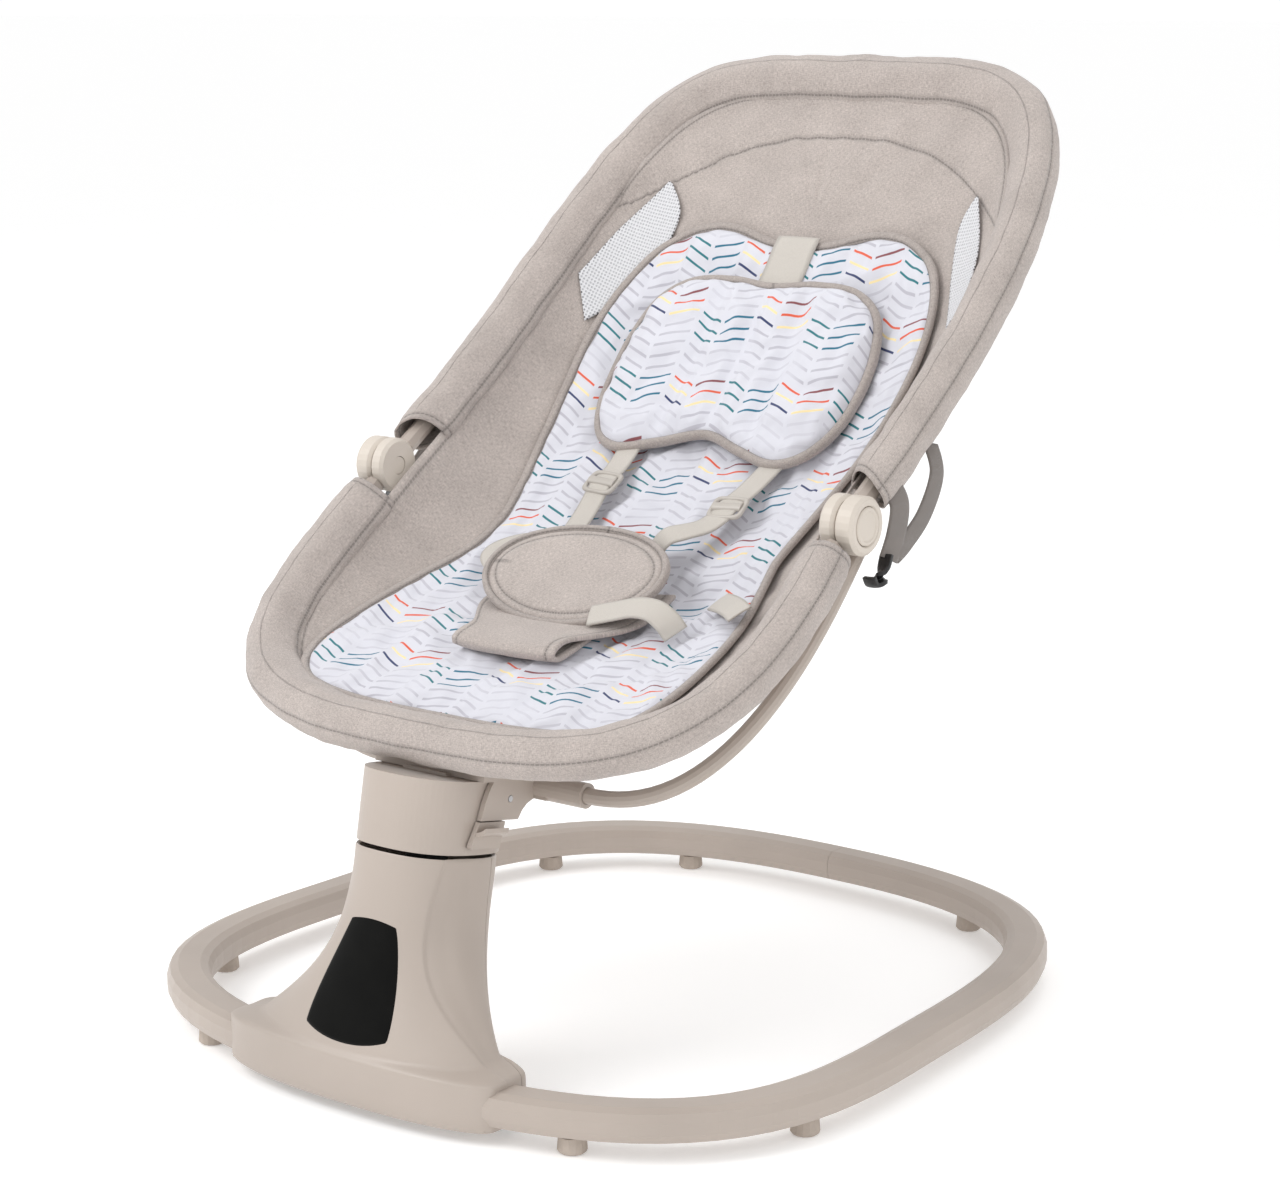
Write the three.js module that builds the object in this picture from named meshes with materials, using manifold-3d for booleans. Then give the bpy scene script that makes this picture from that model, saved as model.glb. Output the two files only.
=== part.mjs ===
// Electric bouncer seat: a ring base with a swing tower, a lift-off seat frame on two bent
// rails, a reclining backrest on two hub hinges, and the seat cover, liner and harness.
// Millimetres, +Z up, +Y from the foot end to the head end, origin under the middle of the box.
import * as THREE from 'three';
import { mergeVertices } from 'three/addons/utils/BufferGeometryUtils.js';
import Module from 'manifold-3d';

const wasm = await Module();
wasm.setup();

// ---- clearances ----
const GAP = 0.3; // between pieces that touch
const RUNNING_GAP = 0.4; // round pieces that turn in one another

// ---- base ring ----
const RING_HALF_WIDTH = 283; // centreline, at the widest
const RING_FRONT = 280; // centreline, hub line to the front
const RING_REAR = 329; // centreline, hub line to the rear
const RING_FRONT_POWER = 2.49; // squareness of the outline
const RING_REAR_POWER = 2.39;
const RING_TUBE_WIDTH = 34;
const RING_TUBE_HEIGHT = 25.5;
const RING_TUBE_RADIUS = 8.5;
const RING_UNDERSIDE = 12;
const SPIGOT_WIDTH = 21;
const SPIGOT_HEIGHT = 13;
const SPIGOT_LENGTH = 58;
const FOOT_PAD_RADIUS = 10.5;
const FOOT_PAD_POSITIONS = [ // along each arm, as ring angles in degrees from the right side
  -64, -24, 41, 68,
];

// ---- tower ----
const TOWER_TOP_Y = -206;
const TOWER_TOP_Z = 170;
const SWING_TILT = 11; // degrees, the axis leans towards the head end
const TOWER_WALL = 3;
const TOWER_TOP_HALF_X = 46;
const TOWER_TOP_HALF_Y = 49;
const TOWER_FOOT_HALF_X = 118;
const TOWER_FOOT_HALF_Y = 30;
const TOWER_SECTION_POWER = 2.5;
const FOOT_BLOCK_HALF_X = 124;
const FOOT_BLOCK_WALL = 5;
const FOOT_BLOCK_BOTTOM = 8.5;
const FOOT_BLOCK_TOP = 42.5;
const DECK_THICKNESS = 4;
const COVER_LINE = 0.42; // rear cover starts at this share of the tower's half depth
const PANEL_TOP_Z = 134;
const PANEL_BOTTOM_Z = 50;
const PANEL_TOP_HALF = 22;
const PANEL_BOTTOM_HALF = 44;
const PANEL_THICKNESS = 2.4;
const PANEL_CORNER = 7;

// ---- swing drive ----
const SPINDLE_RADIUS = 10;
const SPINDLE_BELOW_DECK = 48;
const BUSH_WALL = 5;
const BUSH_HEIGHT = 16;
const GEAR_MODULE = 2.5;
const SWING_GEAR_TEETH = 18;
const PINION_TEETH = 6;
const GEAR_THICKNESS = 8;
const MOTOR_RADIUS = 15;
const MOTOR_LENGTH = 36;
const MOTOR_SHAFT_RADIUS = 2;
const SPEAKER_RADIUS = 18;
const SPEAKER_DEPTH = 12;
const INLET_RADIUS = 6;
const INLET_BORE = 3;
const INLET_LENGTH = 18;
const INLET_Z = 84;
const BOARD_THICKNESS = 1.6;

// ---- swing head and saddle, in the tilted frame of the swing axis ----
const HEAD_GAP = 2; // shadow line over the tower
const HEAD_TOP = 54;
const HEAD_HALF_X = 46;
const HEAD_HALF_Y = 49;
const HEAD_WALL = 3;
const TONGUE_X = 40;
const TONGUE_Y = 26;
const TONGUE_DEPTH = 30;
const TONGUE_CLEAR = 0.5;
const SADDLE_PLATE = 5;
const SADDLE_PLATE_FRONT = -8;
const BEAM_Y = 57;
const BEAM_Z = 50;
const BEAM_DEPTH = 14;
const BEAM_HEIGHT = 17;
const SOCKET_END = 93; // from the middle of the saddle
const SOCKET_START = 66;
const SOCKET_WALL = 3;
const CHEEK_THICKNESS = 4;
const CHEEK_CLEAR = 0.8;
const CHEEK_FRONT = -2;
const CHEEK_BOTTOM = 27;
const LEVER_THICKNESS = 4;
const LEVER_BOTTOM = 7;
const LEVER_FRONT = -14;
const LEVER_BACK = 18;
const LEVER_TAB = 9;
const SCREW_RADIUS = 2.4;

// ---- seat frame ----
const HUB_Z = 396.6;
const HUB_RADIUS = 21.5;
const HUB_INSET = 9.5; // from the side tube's axis in to the inner disc's inside face
const HUB_DISC = 12.5; // thickness of the inner disc
const HUB_OUTER_DISC = 15.5;
const HUB_AXLE_RADIUS = 7;
const HUB_EDGE = 2.5; // rounding of the disc rims
const BUTTON_RADIUS = 14;
const BUTTON_THICKNESS = 4.5;
const BUTTON_TRAVEL = 2.5;
const SEAT_TUBE_RADIUS = 7.5;
const SEAT_HALF_WIDTH = 215;
const HUB_INNER_FACE = SEAT_HALF_WIDTH - HUB_INSET;
const LEG_LENGTH = 279; // hub to toe, along the seat side
const LEG_ANGLE = 39.7; // below the horizontal
const LEG_LIFT = 33; // rise of the toe over the straight line
const LEG_POWER = 3.08;
const LEG_SPREAD = 0.11;
const BACK_LENGTH = 456.7; // hub to head end
const BACK_ANGLE = 31.7; // above the horizontal
const BACK_CURL = 68.4; // rise of the head end, square to the back
const BACK_POWER = 4.57;
const BACK_SPREAD = 0.017;
const RAIL_RADIUS = 6;
const RAIL_HUB_OUTSET = 2; // from the side tube's axis out to the rail's end
const RAIL_HUB_X = SEAT_HALF_WIDTH + RAIL_HUB_OUTSET;
const RAIL_HUB_Y = 15;
const RAIL_HUB_DROP = 21;
const RAIL_POWER = 2.65;

// ---- soft goods ----
const ROLL_RADIUS = 17;
const ROLL_START = 26; // the roll stops this far plus half a hub radius from the hub centre
const SLING_INSET = 20;
const SLING_REACH = 0.98; // share of the inset loop that the sling fills lengthways
const SLING_THICKNESS = 3;
const SOFT_GAP = 3; // between soft layers, whose facets differ
const BUCKET_DEPTH = 66;
const BUCKET_EDGE = 9;
const BUCKET_WALL_POWER = 5; // steepness of the side walls
const BUCKET_FALL_START = 100; // the bucket grows shallow from here to the head end
const BUCKET_FALL_END = 430;
const HIP_HALF = 42; // half length of the flexible part under the hubs
const LINER_THICKNESS = 8;
const LINER_TOE = 246;
const LINER_TOP = 316;
const LINER_SIDE_GAP = 83; // from the side tube's axis in to the liner's edge beside the hubs
const LINER_WAIST = SEAT_HALF_WIDTH - LINER_SIDE_GAP;
const LINER_FLARE = 27; // half width gained towards both ends
const PILLOW_LOW = 101;
const PILLOW_HIGH = 260;
const PILLOW_HALF_WIDTH = 116;
const PILLOW_THICKNESS = 20;
const WEBBING_WIDTH = 20;
const WEBBING_THICKNESS = 1.6;
const SHOULDER_SPACING = 60; // half distance between the shoulder straps
const ADJUSTER_PLACE = 54; // along the seat from the hub line
const PAD_HALF_X = 80;
const PAD_HALF_Y = 47;
const PAD_THICKNESS = 7;
const PAD_PLACE = -64; // along the seat from the hub line
const FLAP_HALF_X = 60;
const FLAP_HALF_Y = 50;
const FLAP_THICKNESS = 8;
const FLAP_PLACE = -106;

// ---- colours ----
const paint = (color, roughness, metalness = 0) =>
  new THREE.MeshStandardMaterial({ color, roughness, metalness });
const TAUPE = 0xb5a99c;
const CREAM = 0xd6ccbd;
const MELANGE = 0xb3a599;
const rad = THREE.MathUtils.degToRad;

// ---- geometry helpers ----
function toSolid(geometry) {
  const bare = geometry.clone();
  bare.deleteAttribute('normal');
  bare.deleteAttribute('uv');
  const merged = mergeVertices(bare, 1e-4);
  return new wasm.Manifold(new wasm.Mesh({
    numProp: 3,
    vertProperties: new Float32Array(merged.attributes.position.array),
    triVerts: new Uint32Array(merged.index.array),
  }));
}

function toGeometry(solid) {
  const mesh = solid.getMesh();
  const geometry = new THREE.BufferGeometry();
  const points = new Float32Array(mesh.vertProperties);
  geometry.setAttribute('position', new THREE.BufferAttribute(points, 3));
  geometry.setIndex(new THREE.BufferAttribute(new Uint32Array(mesh.triVerts), 1));
  geometry.computeVertexNormals();
  return geometry;
}

function mirrored(geometry) {
  const bare = geometry.clone();
  bare.deleteAttribute('normal');
  bare.deleteAttribute('uv');
  const copy = mergeVertices(bare, 1e-4);
  copy.scale(-1, 1, 1);
  const index = copy.index.array;
  for (let i = 0; i < index.length; i += 3) {
    const first = index[i];
    index[i] = index[i + 1];
    index[i + 1] = first;
  }
  copy.computeVertexNormals();
  return copy;
}

function warp(geometry, place) {
  const bare = geometry.clone();
  bare.deleteAttribute('normal');
  bare.deleteAttribute('uv');
  const merged = mergeVertices(bare, 1e-4);
  const position = merged.attributes.position;
  const point = new THREE.Vector3();
  for (let i = 0; i < position.count; i++) {
    const moved = place(point.fromBufferAttribute(position, i).clone());
    position.setXYZ(i, moved.x, moved.y, moved.z);
  }
  merged.computeVertexNormals();
  return merged;
}

function roundedSection(height, width, radius) {
  const h = height / 2;
  const w = width / 2;
  const r = Math.min(radius, h * 0.9, w * 0.9);
  const shape = new THREE.Shape();
  shape.absarc(h - r, w - r, r, 0, Math.PI / 2, false);
  shape.absarc(-h + r, w - r, r, Math.PI / 2, Math.PI, false);
  shape.absarc(-h + r, -w + r, r, Math.PI, 1.5 * Math.PI, false);
  shape.absarc(h - r, -w + r, r, 1.5 * Math.PI, 2 * Math.PI, false);
  shape.closePath();
  return shape;
}

function circleSection(radius, bore = 0) {
  const shape = new THREE.Shape();
  shape.absarc(0, 0, radius, 0, 2 * Math.PI, false);
  if (bore > 0) {
    const hole = new THREE.Path();
    hole.absarc(0, 0, bore, 0, 2 * Math.PI, true);
    shape.holes.push(hole);
  }
  return shape;
}

function sweep(section, extrudePath, steps, curveSegments) {
  return new THREE.ExtrudeGeometry(section, { steps, curveSegments, extrudePath });
}

function plate(shape, depth, curveSegments = 6) {
  return new THREE.ExtrudeGeometry(shape, { depth, curveSegments, bevelEnabled: false });
}

function block(x0, x1, y0, y1, z0, z1) {
  const geometry = new THREE.BoxGeometry(x1 - x0, y1 - y0, z1 - z0);
  return geometry.translate((x0 + x1) / 2, (y0 + y1) / 2, (z0 + z1) / 2);
}

function turned(profile, segments) {
  return new THREE.LatheGeometry(profile.map(([r, h]) => new THREE.Vector2(r, h)), segments);
}

function rod(radius, z0, z1, segments = 24) {
  const geometry = new THREE.CylinderGeometry(radius, radius, z1 - z0, segments);
  return geometry.rotateX(Math.PI / 2).translate(0, 0, (z0 + z1) / 2);
}

function rodX(radius, x0, x1, segments = 24) {
  return rod(radius, x0, x1, segments).rotateY(Math.PI / 2);
}

const join = (...list) => list.map(toSolid).reduce((a, b) => a.add(b));
const cutFrom = (body, ...tools) =>
  tools.map(toSolid).reduce((a, b) => a.subtract(b), body);

// ---- scene ----
const bouncer = new THREE.Group();
const stand = new THREE.Group();
bouncer.add(stand);
const swingFrame = new THREE.Group();
swingFrame.position.set(0, TOWER_TOP_Y, TOWER_TOP_Z);
swingFrame.rotation.x = -rad(SWING_TILT);
stand.add(swingFrame);

function add(name, geometry, material, parent = stand) {
  const mesh = new THREE.Mesh(geometry, material);
  mesh.name = name;
  parent.add(mesh);
  return mesh;
}

// ---- ring centreline ----
function ringPoint(angle) {
  const c = Math.cos(angle);
  const s = Math.sin(angle);
  const power = s < 0 ? RING_FRONT_POWER : RING_REAR_POWER;
  const reach = s < 0 ? RING_FRONT : RING_REAR;
  const y = Math.sign(s) * reach * Math.abs(s) ** (2 / power);
  const full = 1 - 0.039 * (y / 281) + 0.16 * (y / 281) ** 2;
  const x = Math.sign(c) * RING_HALF_WIDTH * Math.abs(c) ** (2 / power) * full;
  return new THREE.Vector3(x, y, RING_UNDERSIDE + RING_TUBE_HEIGHT / 2);
}

function ringAngleAtX(x, front) {
  let low = 0;
  let high = Math.PI / 2;
  for (let i = 0; i < 50; i++) {
    const mid = (low + high) / 2;
    if (ringPoint(mid * (front ? -1 : 1)).x > x) low = mid;
    else high = mid;
  }
  return low * (front ? -1 : 1);
}

class RingCurve extends THREE.Curve {
  constructor(from, to, z = RING_UNDERSIDE + RING_TUBE_HEIGHT / 2) {
    super();
    this.from = from;
    this.to = to;
    this.z = z;
    this.arcLengthDivisions = 400;
  }

  getPoint(t) {
    const point = ringPoint(this.from + (this.to - this.from) * t);
    point.z = this.z;
    return point;
  }
}

// ---- base ring, feet ----
function ringArm() {
  const section = roundedSection(RING_TUBE_HEIGHT, RING_TUBE_WIDTH, RING_TUBE_RADIUS);
  const from = ringAngleAtX(52, true);
  const path = new RingCurve(from, Math.PI / 2);
  const arm = toSolid(sweep(section, path, 52, 1));
  const z = RING_UNDERSIDE + RING_TUBE_HEIGHT / 2;
  const half = { x: SPIGOT_LENGTH / 2 + 1, y: SPIGOT_WIDTH / 2 + GAP, z: SPIGOT_HEIGHT / 2 + GAP };
  const bore = block(-half.x, half.x, RING_REAR - half.y, RING_REAR + half.y, z - half.z, z + half.z);
  const seam = block(-20, GAP / 2, RING_REAR - 40, RING_REAR + 40, z - 40, z + 40);
  return toGeometry(cutFrom(arm, bore, seam));
}

function ringSpigot() {
  const z = RING_UNDERSIDE + RING_TUBE_HEIGHT / 2;
  const x = SPIGOT_LENGTH / 2;
  const y = SPIGOT_WIDTH / 2;
  const h = SPIGOT_HEIGHT / 2;
  return block(-x, x, RING_REAR - y, RING_REAR + y, z - h, z + h);
}

function footPad() {
  const top = RING_UNDERSIDE - GAP;
  const r = FOOT_PAD_RADIUS;
  const profile = [[0, 0], [r - 1.5, 0], [r, 1.5], [r - 0.8, top], [0, top]];
  return turned(profile, 14).rotateX(Math.PI / 2);
}

// ---- tower ----
function towerShape(h) {
  const k = 1 - h;
  return {
    halfX: TOWER_TOP_HALF_X + (TOWER_FOOT_HALF_X - TOWER_TOP_HALF_X) * k ** 2.4,
    halfY: TOWER_TOP_HALF_Y + (TOWER_FOOT_HALF_Y - TOWER_TOP_HALF_Y) * k ** 3,
    y: TOWER_TOP_Y + (-RING_FRONT + 4 - TOWER_TOP_Y) * k ** 1.6,
    z: FOOT_BLOCK_TOP - 6 + (TOWER_TOP_Z - FOOT_BLOCK_TOP + 6) * h,
  };
}

function towerPoint(h, c, s, inset, drop) {
  const t = towerShape(h);
  const n = TOWER_SECTION_POWER;
  const reach = 1 / (Math.abs(c) ** n + Math.abs(s) ** n) ** (1 / n);
  const x = (t.halfX - inset) * c * reach;
  const dy = (t.halfY - inset) * s * reach;
  const lean = Math.tan(rad(SWING_TILT)) * h;
  return new THREE.Vector3(x, t.y + dy, t.z - dy * lean - drop * h);
}

function towerLoft(inset, drop, around = 32, rows = 9) {
  const unit = new THREE.CylinderGeometry(1, 1, 1, around, rows).rotateX(Math.PI / 2);
  return warp(unit, (p) => {
    const r = Math.hypot(p.x, p.y);
    const h = p.z + 0.5;
    if (r < 1e-6) return towerPoint(h, 1, 0, inset, drop).setX(0);
    const edge = towerPoint(h, p.x / r, p.y / r, inset, drop);
    return edge;
  });
}

function footSweep(grow, extra, bottom, top) {
  const half = FOOT_BLOCK_HALF_X + extra;
  const a = ringAngleAtX(half, true);
  const path = new RingCurve(-Math.PI - a, a, (bottom + top) / 2);
  const width = RING_TUBE_WIDTH + 2 * grow;
  const section = roundedSection(top - bottom, width, RING_TUBE_RADIUS + grow * 0.4);
  return sweep(section, path, 20, 1);
}

function coverLine(behind) {
  const unit = new THREE.BoxGeometry(1, 1, 1, 1, 1, 8);
  return warp(unit, (p) => {
    const h = (p.z + 0.5) * 1.15;
    const t = towerShape(Math.min(h, 1));
    const lift = Math.max(h - 1, 0) * 130;
    const y = t.y + t.halfY * COVER_LINE + behind + (p.y + 0.5) * 160;
    return new THREE.Vector3(p.x * 400, y, t.z + 8 + lift);
  });
}

function panelOutline(grow) {
  const shape = new THREE.Shape();
  const top = PANEL_TOP_HALF + grow;
  const low = PANEL_BOTTOM_HALF + grow;
  const z0 = PANEL_BOTTOM_Z - grow;
  const z1 = PANEL_TOP_Z + grow;
  const r = PANEL_CORNER;
  const slope = (low - top) / (z1 - z0);
  shape.moveTo(-low + r, z0);
  shape.quadraticCurveTo(0, z0 - 4, low - r, z0);
  shape.quadraticCurveTo(low, z0, low - r * slope, z0 + r);
  shape.quadraticCurveTo(top + slope * 18, z1 - 40, top, z1 - r);
  shape.quadraticCurveTo(top, z1, top - r, z1);
  shape.lineTo(-top + r, z1);
  shape.quadraticCurveTo(-top, z1, -top, z1 - r);
  shape.quadraticCurveTo(-top - slope * 18, z1 - 40, -low + r * slope, z0 + r);
  shape.quadraticCurveTo(-low, z0, -low + r, z0);
  return shape;
}

function panelPrism(grow) {
  const prism = plate(panelOutline(grow), 160, 4).rotateX(Math.PI / 2).translate(0, -170, 0);
  return cutFrom(toSolid(prism), coverLine(0));
}

function tiltedTool(geometry) {
  return geometry.applyMatrix4(
    new THREE.Matrix4().makeTranslation(0, TOWER_TOP_Y, TOWER_TOP_Z)
      .multiply(new THREE.Matrix4().makeRotationX(-rad(SWING_TILT))),
  );
}

function towerRearY(z) {
  const h = (z - FOOT_BLOCK_TOP + 6) / (TOWER_TOP_Z - FOOT_BLOCK_TOP + 6);
  const t = towerShape(h);
  return t.y + t.halfY;
}

function inletTool(radius, from, to) {
  return rod(radius, from, to, 20).rotateX(-Math.PI / 2).translate(0, towerRearY(INLET_Z), INLET_Z);
}

function towerParts() {
  const outer = join(
    towerLoft(0, 0),
    footSweep(FOOT_BLOCK_WALL, 0, FOOT_BLOCK_BOTTOM, FOOT_BLOCK_TOP),
  );
  const channel = footSweep(GAP, 3, -20, RING_UNDERSIDE + RING_TUBE_HEIGHT + GAP);
  const cavity = towerLoft(TOWER_WALL, DECK_THICKNESS);
  const bushHole = tiltedTool(rod(SPINDLE_RADIUS + RUNNING_GAP + BUSH_WALL + GAP, -40, 20, 28));
  const shell = cutFrom(outer, channel, cavity, bushHole);
  const pocket = panelPrism(GAP);
  const skin = toSolid(towerLoft(PANEL_THICKNESS + GAP, 0));
  const recess = pocket.subtract(skin);
  const front = shell.subtract(toSolid(coverLine(0))).subtract(recess);
  const rear = shell.intersect(toSolid(coverLine(GAP)));
  const rearBored = rear.subtract(toSolid(inletTool(INLET_RADIUS + GAP, -20, 20)));
  const panel = panelPrism(0).intersect(toSolid(towerLoft(0, 0)))
    .subtract(toSolid(towerLoft(PANEL_THICKNESS, 0)));
  return { front: toGeometry(front), rear: toGeometry(rearBored), panel: toGeometry(panel) };
}

function footCover() {
  const low = FOOT_BLOCK_BOTTOM + 0.4;
  const high = RING_UNDERSIDE - GAP;
  return footSweep(-1.2, -8, low, high);
}

// ---- swing drive, in the swing axis frame ----
function gearShape(teeth, bore) {
  const pitch = (GEAR_MODULE * teeth) / 2;
  const tip = pitch + GEAR_MODULE * 0.7;
  const root = pitch - GEAR_MODULE * 0.95;
  const step = (2 * Math.PI) / teeth;
  const shape = new THREE.Shape();
  const corners = [[root, -0.25], [tip, -0.11], [tip, 0.11], [root, 0.25]];
  for (let i = 0; i < teeth; i++) {
    for (const [radius, share] of corners) {
      const angle = (i + share) * step;
      const x = radius * Math.cos(angle);
      const y = radius * Math.sin(angle);
      if (i === 0 && share === corners[0][1]) shape.moveTo(x, y);
      else shape.lineTo(x, y);
    }
  }
  shape.closePath();
  const hole = new THREE.Path();
  hole.absarc(0, 0, bore, 0, 2 * Math.PI, true);
  shape.holes.push(hole);
  return shape;
}

const gearReach = (GEAR_MODULE * (SWING_GEAR_TEETH + PINION_TEETH)) / 2;
const gearBottom = -SPINDLE_BELOW_DECK;

function driveParts() {
  const bushOuter = SPINDLE_RADIUS + RUNNING_GAP + BUSH_WALL;
  const bushTop = -0.6;
  const bush = cutFrom(
    toSolid(rod(bushOuter, bushTop - BUSH_HEIGHT, bushTop, 28)),
    rod(SPINDLE_RADIUS + RUNNING_GAP, -60, 20, 28),
  );
  const gearTop = gearBottom + GEAR_THICKNESS;
  const gear = plate(gearShape(SWING_GEAR_TEETH, SPINDLE_RADIUS / 2 + GAP), GEAR_THICKNESS, 5)
    .translate(0, 0, gearBottom);
  const spindle = join(
    rod(SPINDLE_RADIUS, gearTop + GAP, HEAD_GAP - GAP, 28),
    rod(SPINDLE_RADIUS / 2, gearBottom - 1, gearTop + 1, 16),
  );
  const pinion = plate(gearShape(PINION_TEETH, MOTOR_SHAFT_RADIUS + GAP), GEAR_THICKNESS, 5)
    .rotateZ(Math.PI / PINION_TEETH)
    .translate(-gearReach, 0, gearBottom);
  const motorTop = gearBottom - 3;
  const motor = join(
    rod(MOTOR_RADIUS, motorTop - MOTOR_LENGTH, motorTop, 24),
    rod(MOTOR_SHAFT_RADIUS, motorTop - 1, gearBottom + GEAR_THICKNESS - 1, 12),
  );
  return {
    bush: toGeometry(bush),
    gear,
    spindle: toGeometry(spindle),
    pinion,
    motor: toGeometry(motor).translate(-gearReach, 0, 0),
  };
}

// ---- swing head and saddle, in the swing axis frame ----
function headLoft(inset, bottom, top, around = 72) {
  const unit = new THREE.CylinderGeometry(1, 1, 1, around, 1).rotateX(Math.PI / 2);
  const n = TOWER_SECTION_POWER;
  return warp(unit, (p) => {
    const r = Math.hypot(p.x, p.y);
    const z = bottom + (top - bottom) * (p.z + 0.5);
    if (r < 1e-6) return new THREE.Vector3(0, 0, z);
    const c = p.x / r;
    const s = p.y / r;
    const reach = 1 / (Math.abs(c) ** n + Math.abs(s) ** n) ** (1 / n);
    return new THREE.Vector3((HEAD_HALF_X - inset) * c * reach, (HEAD_HALF_Y - inset) * s * reach, z);
  });
}

function headShell() {
  const body = toSolid(headLoft(0, HEAD_GAP, HEAD_TOP));
  const hollow = headLoft(HEAD_WALL, HEAD_GAP + 12, HEAD_TOP - 8);
  const tx = TONGUE_X / 2 + TONGUE_CLEAR;
  const ty = TONGUE_Y / 2 + TONGUE_CLEAR;
  const pocket = block(-tx, tx, -ty, ty, HEAD_TOP - TONGUE_DEPTH - TONGUE_CLEAR, HEAD_TOP + 5);
  return toGeometry(cutFrom(body, hollow, pocket));
}

function cheek(side) {
  const inner = HEAD_HALF_X + CHEEK_CLEAR;
  const outer = inner + CHEEK_THICKNESS;
  const shape = new THREE.Shape();
  const back = BEAM_Y;
  shape.moveTo(CHEEK_FRONT + 10, HEAD_TOP + SADDLE_PLATE);
  shape.quadraticCurveTo(CHEEK_FRONT, HEAD_TOP - 2, CHEEK_FRONT - 4, CHEEK_BOTTOM);
  shape.lineTo(back - 22, CHEEK_BOTTOM);
  shape.quadraticCurveTo(back - 16, BEAM_Z - BEAM_HEIGHT / 2, back, BEAM_Z - BEAM_HEIGHT / 2 + 1);
  shape.lineTo(back, HEAD_TOP + SADDLE_PLATE);
  shape.closePath();
  const geometry = plate(shape, outer - inner, 4);
  geometry.applyMatrix4(new THREE.Matrix4().set(0, 0, 1, inner, 1, 0, 0, 0, 0, 1, 0, 0, 0, 0, 0, 1));
  return side > 0 ? geometry : mirrored(geometry);
}

function saddle() {
  const inner = HEAD_HALF_X + CHEEK_CLEAR;
  const outer = inner + CHEEK_THICKNESS;
  const plateLow = HEAD_TOP + GAP;
  const top = block(-outer, outer, SADDLE_PLATE_FRONT, BEAM_Y, plateLow, HEAD_TOP + SADDLE_PLATE);
  const beamFront = Math.max(BEAM_Y - BEAM_DEPTH / 2, HEAD_HALF_Y + GAP + 0.2);
  const beamTop = HEAD_TOP + SADDLE_PLATE;
  const beam = block(-62, 62, beamFront, BEAM_Y + BEAM_DEPTH / 2, BEAM_Z - BEAM_HEIGHT / 2, beamTop);
  const tongue = block(
    -TONGUE_X / 2, TONGUE_X / 2, -TONGUE_Y / 2, TONGUE_Y / 2, HEAD_TOP - TONGUE_DEPTH, plateLow + 2,
  );
  const socketRadius = RAIL_RADIUS + GAP + SOCKET_WALL;
  const sockets = rodX(socketRadius, -SOCKET_END, SOCKET_END, 20).translate(0, BEAM_Y, BEAM_Z);
  const cheeks = [cheek(1), cheek(-1)];
  const body = join(top, beam, sockets, tongue, ...cheeks);
  const bores = [-1, 1].map((side) => {
    const a = side * SOCKET_START;
    const b = side * (SOCKET_END + 5);
    return rodX(RAIL_RADIUS + GAP, Math.min(a, b), Math.max(a, b), 20).translate(0, BEAM_Y, BEAM_Z);
  });
  const head = headLoft(-CHEEK_CLEAR / 2, CHEEK_BOTTOM - 5, HEAD_TOP, 40);
  const keep = cutFrom(toSolid(head), block(
    -TONGUE_X / 2 - 1, TONGUE_X / 2 + 1, -TONGUE_Y / 2 - 1, TONGUE_Y / 2 + 1, 0, HEAD_TOP + 1,
  ));
  const screwHoles = [-1, 1].map((side) => screwPlace(rodX(SCREW_RADIUS + GAP, -8, 8, 12), side));
  return toGeometry(cutFrom(body, ...bores, ...screwHoles).subtract(keep));
}

function screwPlace(geometry, side) {
  const x = side * (HEAD_HALF_X + CHEEK_CLEAR + CHEEK_THICKNESS);
  return geometry.translate(x, 24, HEAD_TOP - 12);
}

function saddleScrew(side) {
  const length = CHEEK_THICKNESS - 0.4;
  const a = side > 0 ? -length : -0.2;
  const b = side > 0 ? 0.2 : length;
  return screwPlace(rodX(SCREW_RADIUS, a, b, 12), side);
}

function releaseLever() {
  const inner = HEAD_HALF_X + CHEEK_CLEAR;
  const shape = new THREE.Shape();
  shape.moveTo(LEVER_FRONT, LEVER_BOTTOM + 2);
  shape.quadraticCurveTo(LEVER_FRONT, LEVER_BOTTOM, LEVER_FRONT + 3, LEVER_BOTTOM);
  shape.lineTo(LEVER_BACK, LEVER_BOTTOM);
  shape.lineTo(LEVER_BACK + 3, CHEEK_BOTTOM - 1);
  shape.lineTo(LEVER_FRONT + 7, CHEEK_BOTTOM - 1);
  shape.closePath();
  const plateGeometry = plate(shape, LEVER_THICKNESS, 3);
  plateGeometry.applyMatrix4(
    new THREE.Matrix4().set(0, 0, 1, inner, 1, 0, 0, 0, 0, 1, 0, 0, 0, 0, 0, 1),
  );
  const x = inner + LEVER_THICKNESS - 1;
  const tab = warp(new THREE.BoxGeometry(1, 1, 1, 4, 1, 1), (p) => {
    const out = p.x + 0.5;
    const curl = 4 * out * out;
    return new THREE.Vector3(x + out * LEVER_TAB, 3 + p.y * 26, 17.5 + p.z * 3.2 + curl);
  });
  return toGeometry(join(plateGeometry, tab));
}

// ---- seat loop ----
function legLine(u) {
  const a = rad(LEG_ANGLE);
  const lift = LEG_LIFT * (u / LEG_LENGTH) ** 2;
  return { y: -u * Math.cos(a), z: HUB_Z - u * Math.sin(a) + lift };
}

function backLine(u) {
  const a = rad(BACK_ANGLE);
  const curl = BACK_CURL * (u / BACK_LENGTH) ** 2;
  return { y: u * Math.cos(a) - curl * Math.sin(a), z: HUB_Z + u * Math.sin(a) + curl * Math.cos(a) };
}

const seatLine = (s) => (s < 0 ? legLine(-s) : backLine(s));

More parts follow.
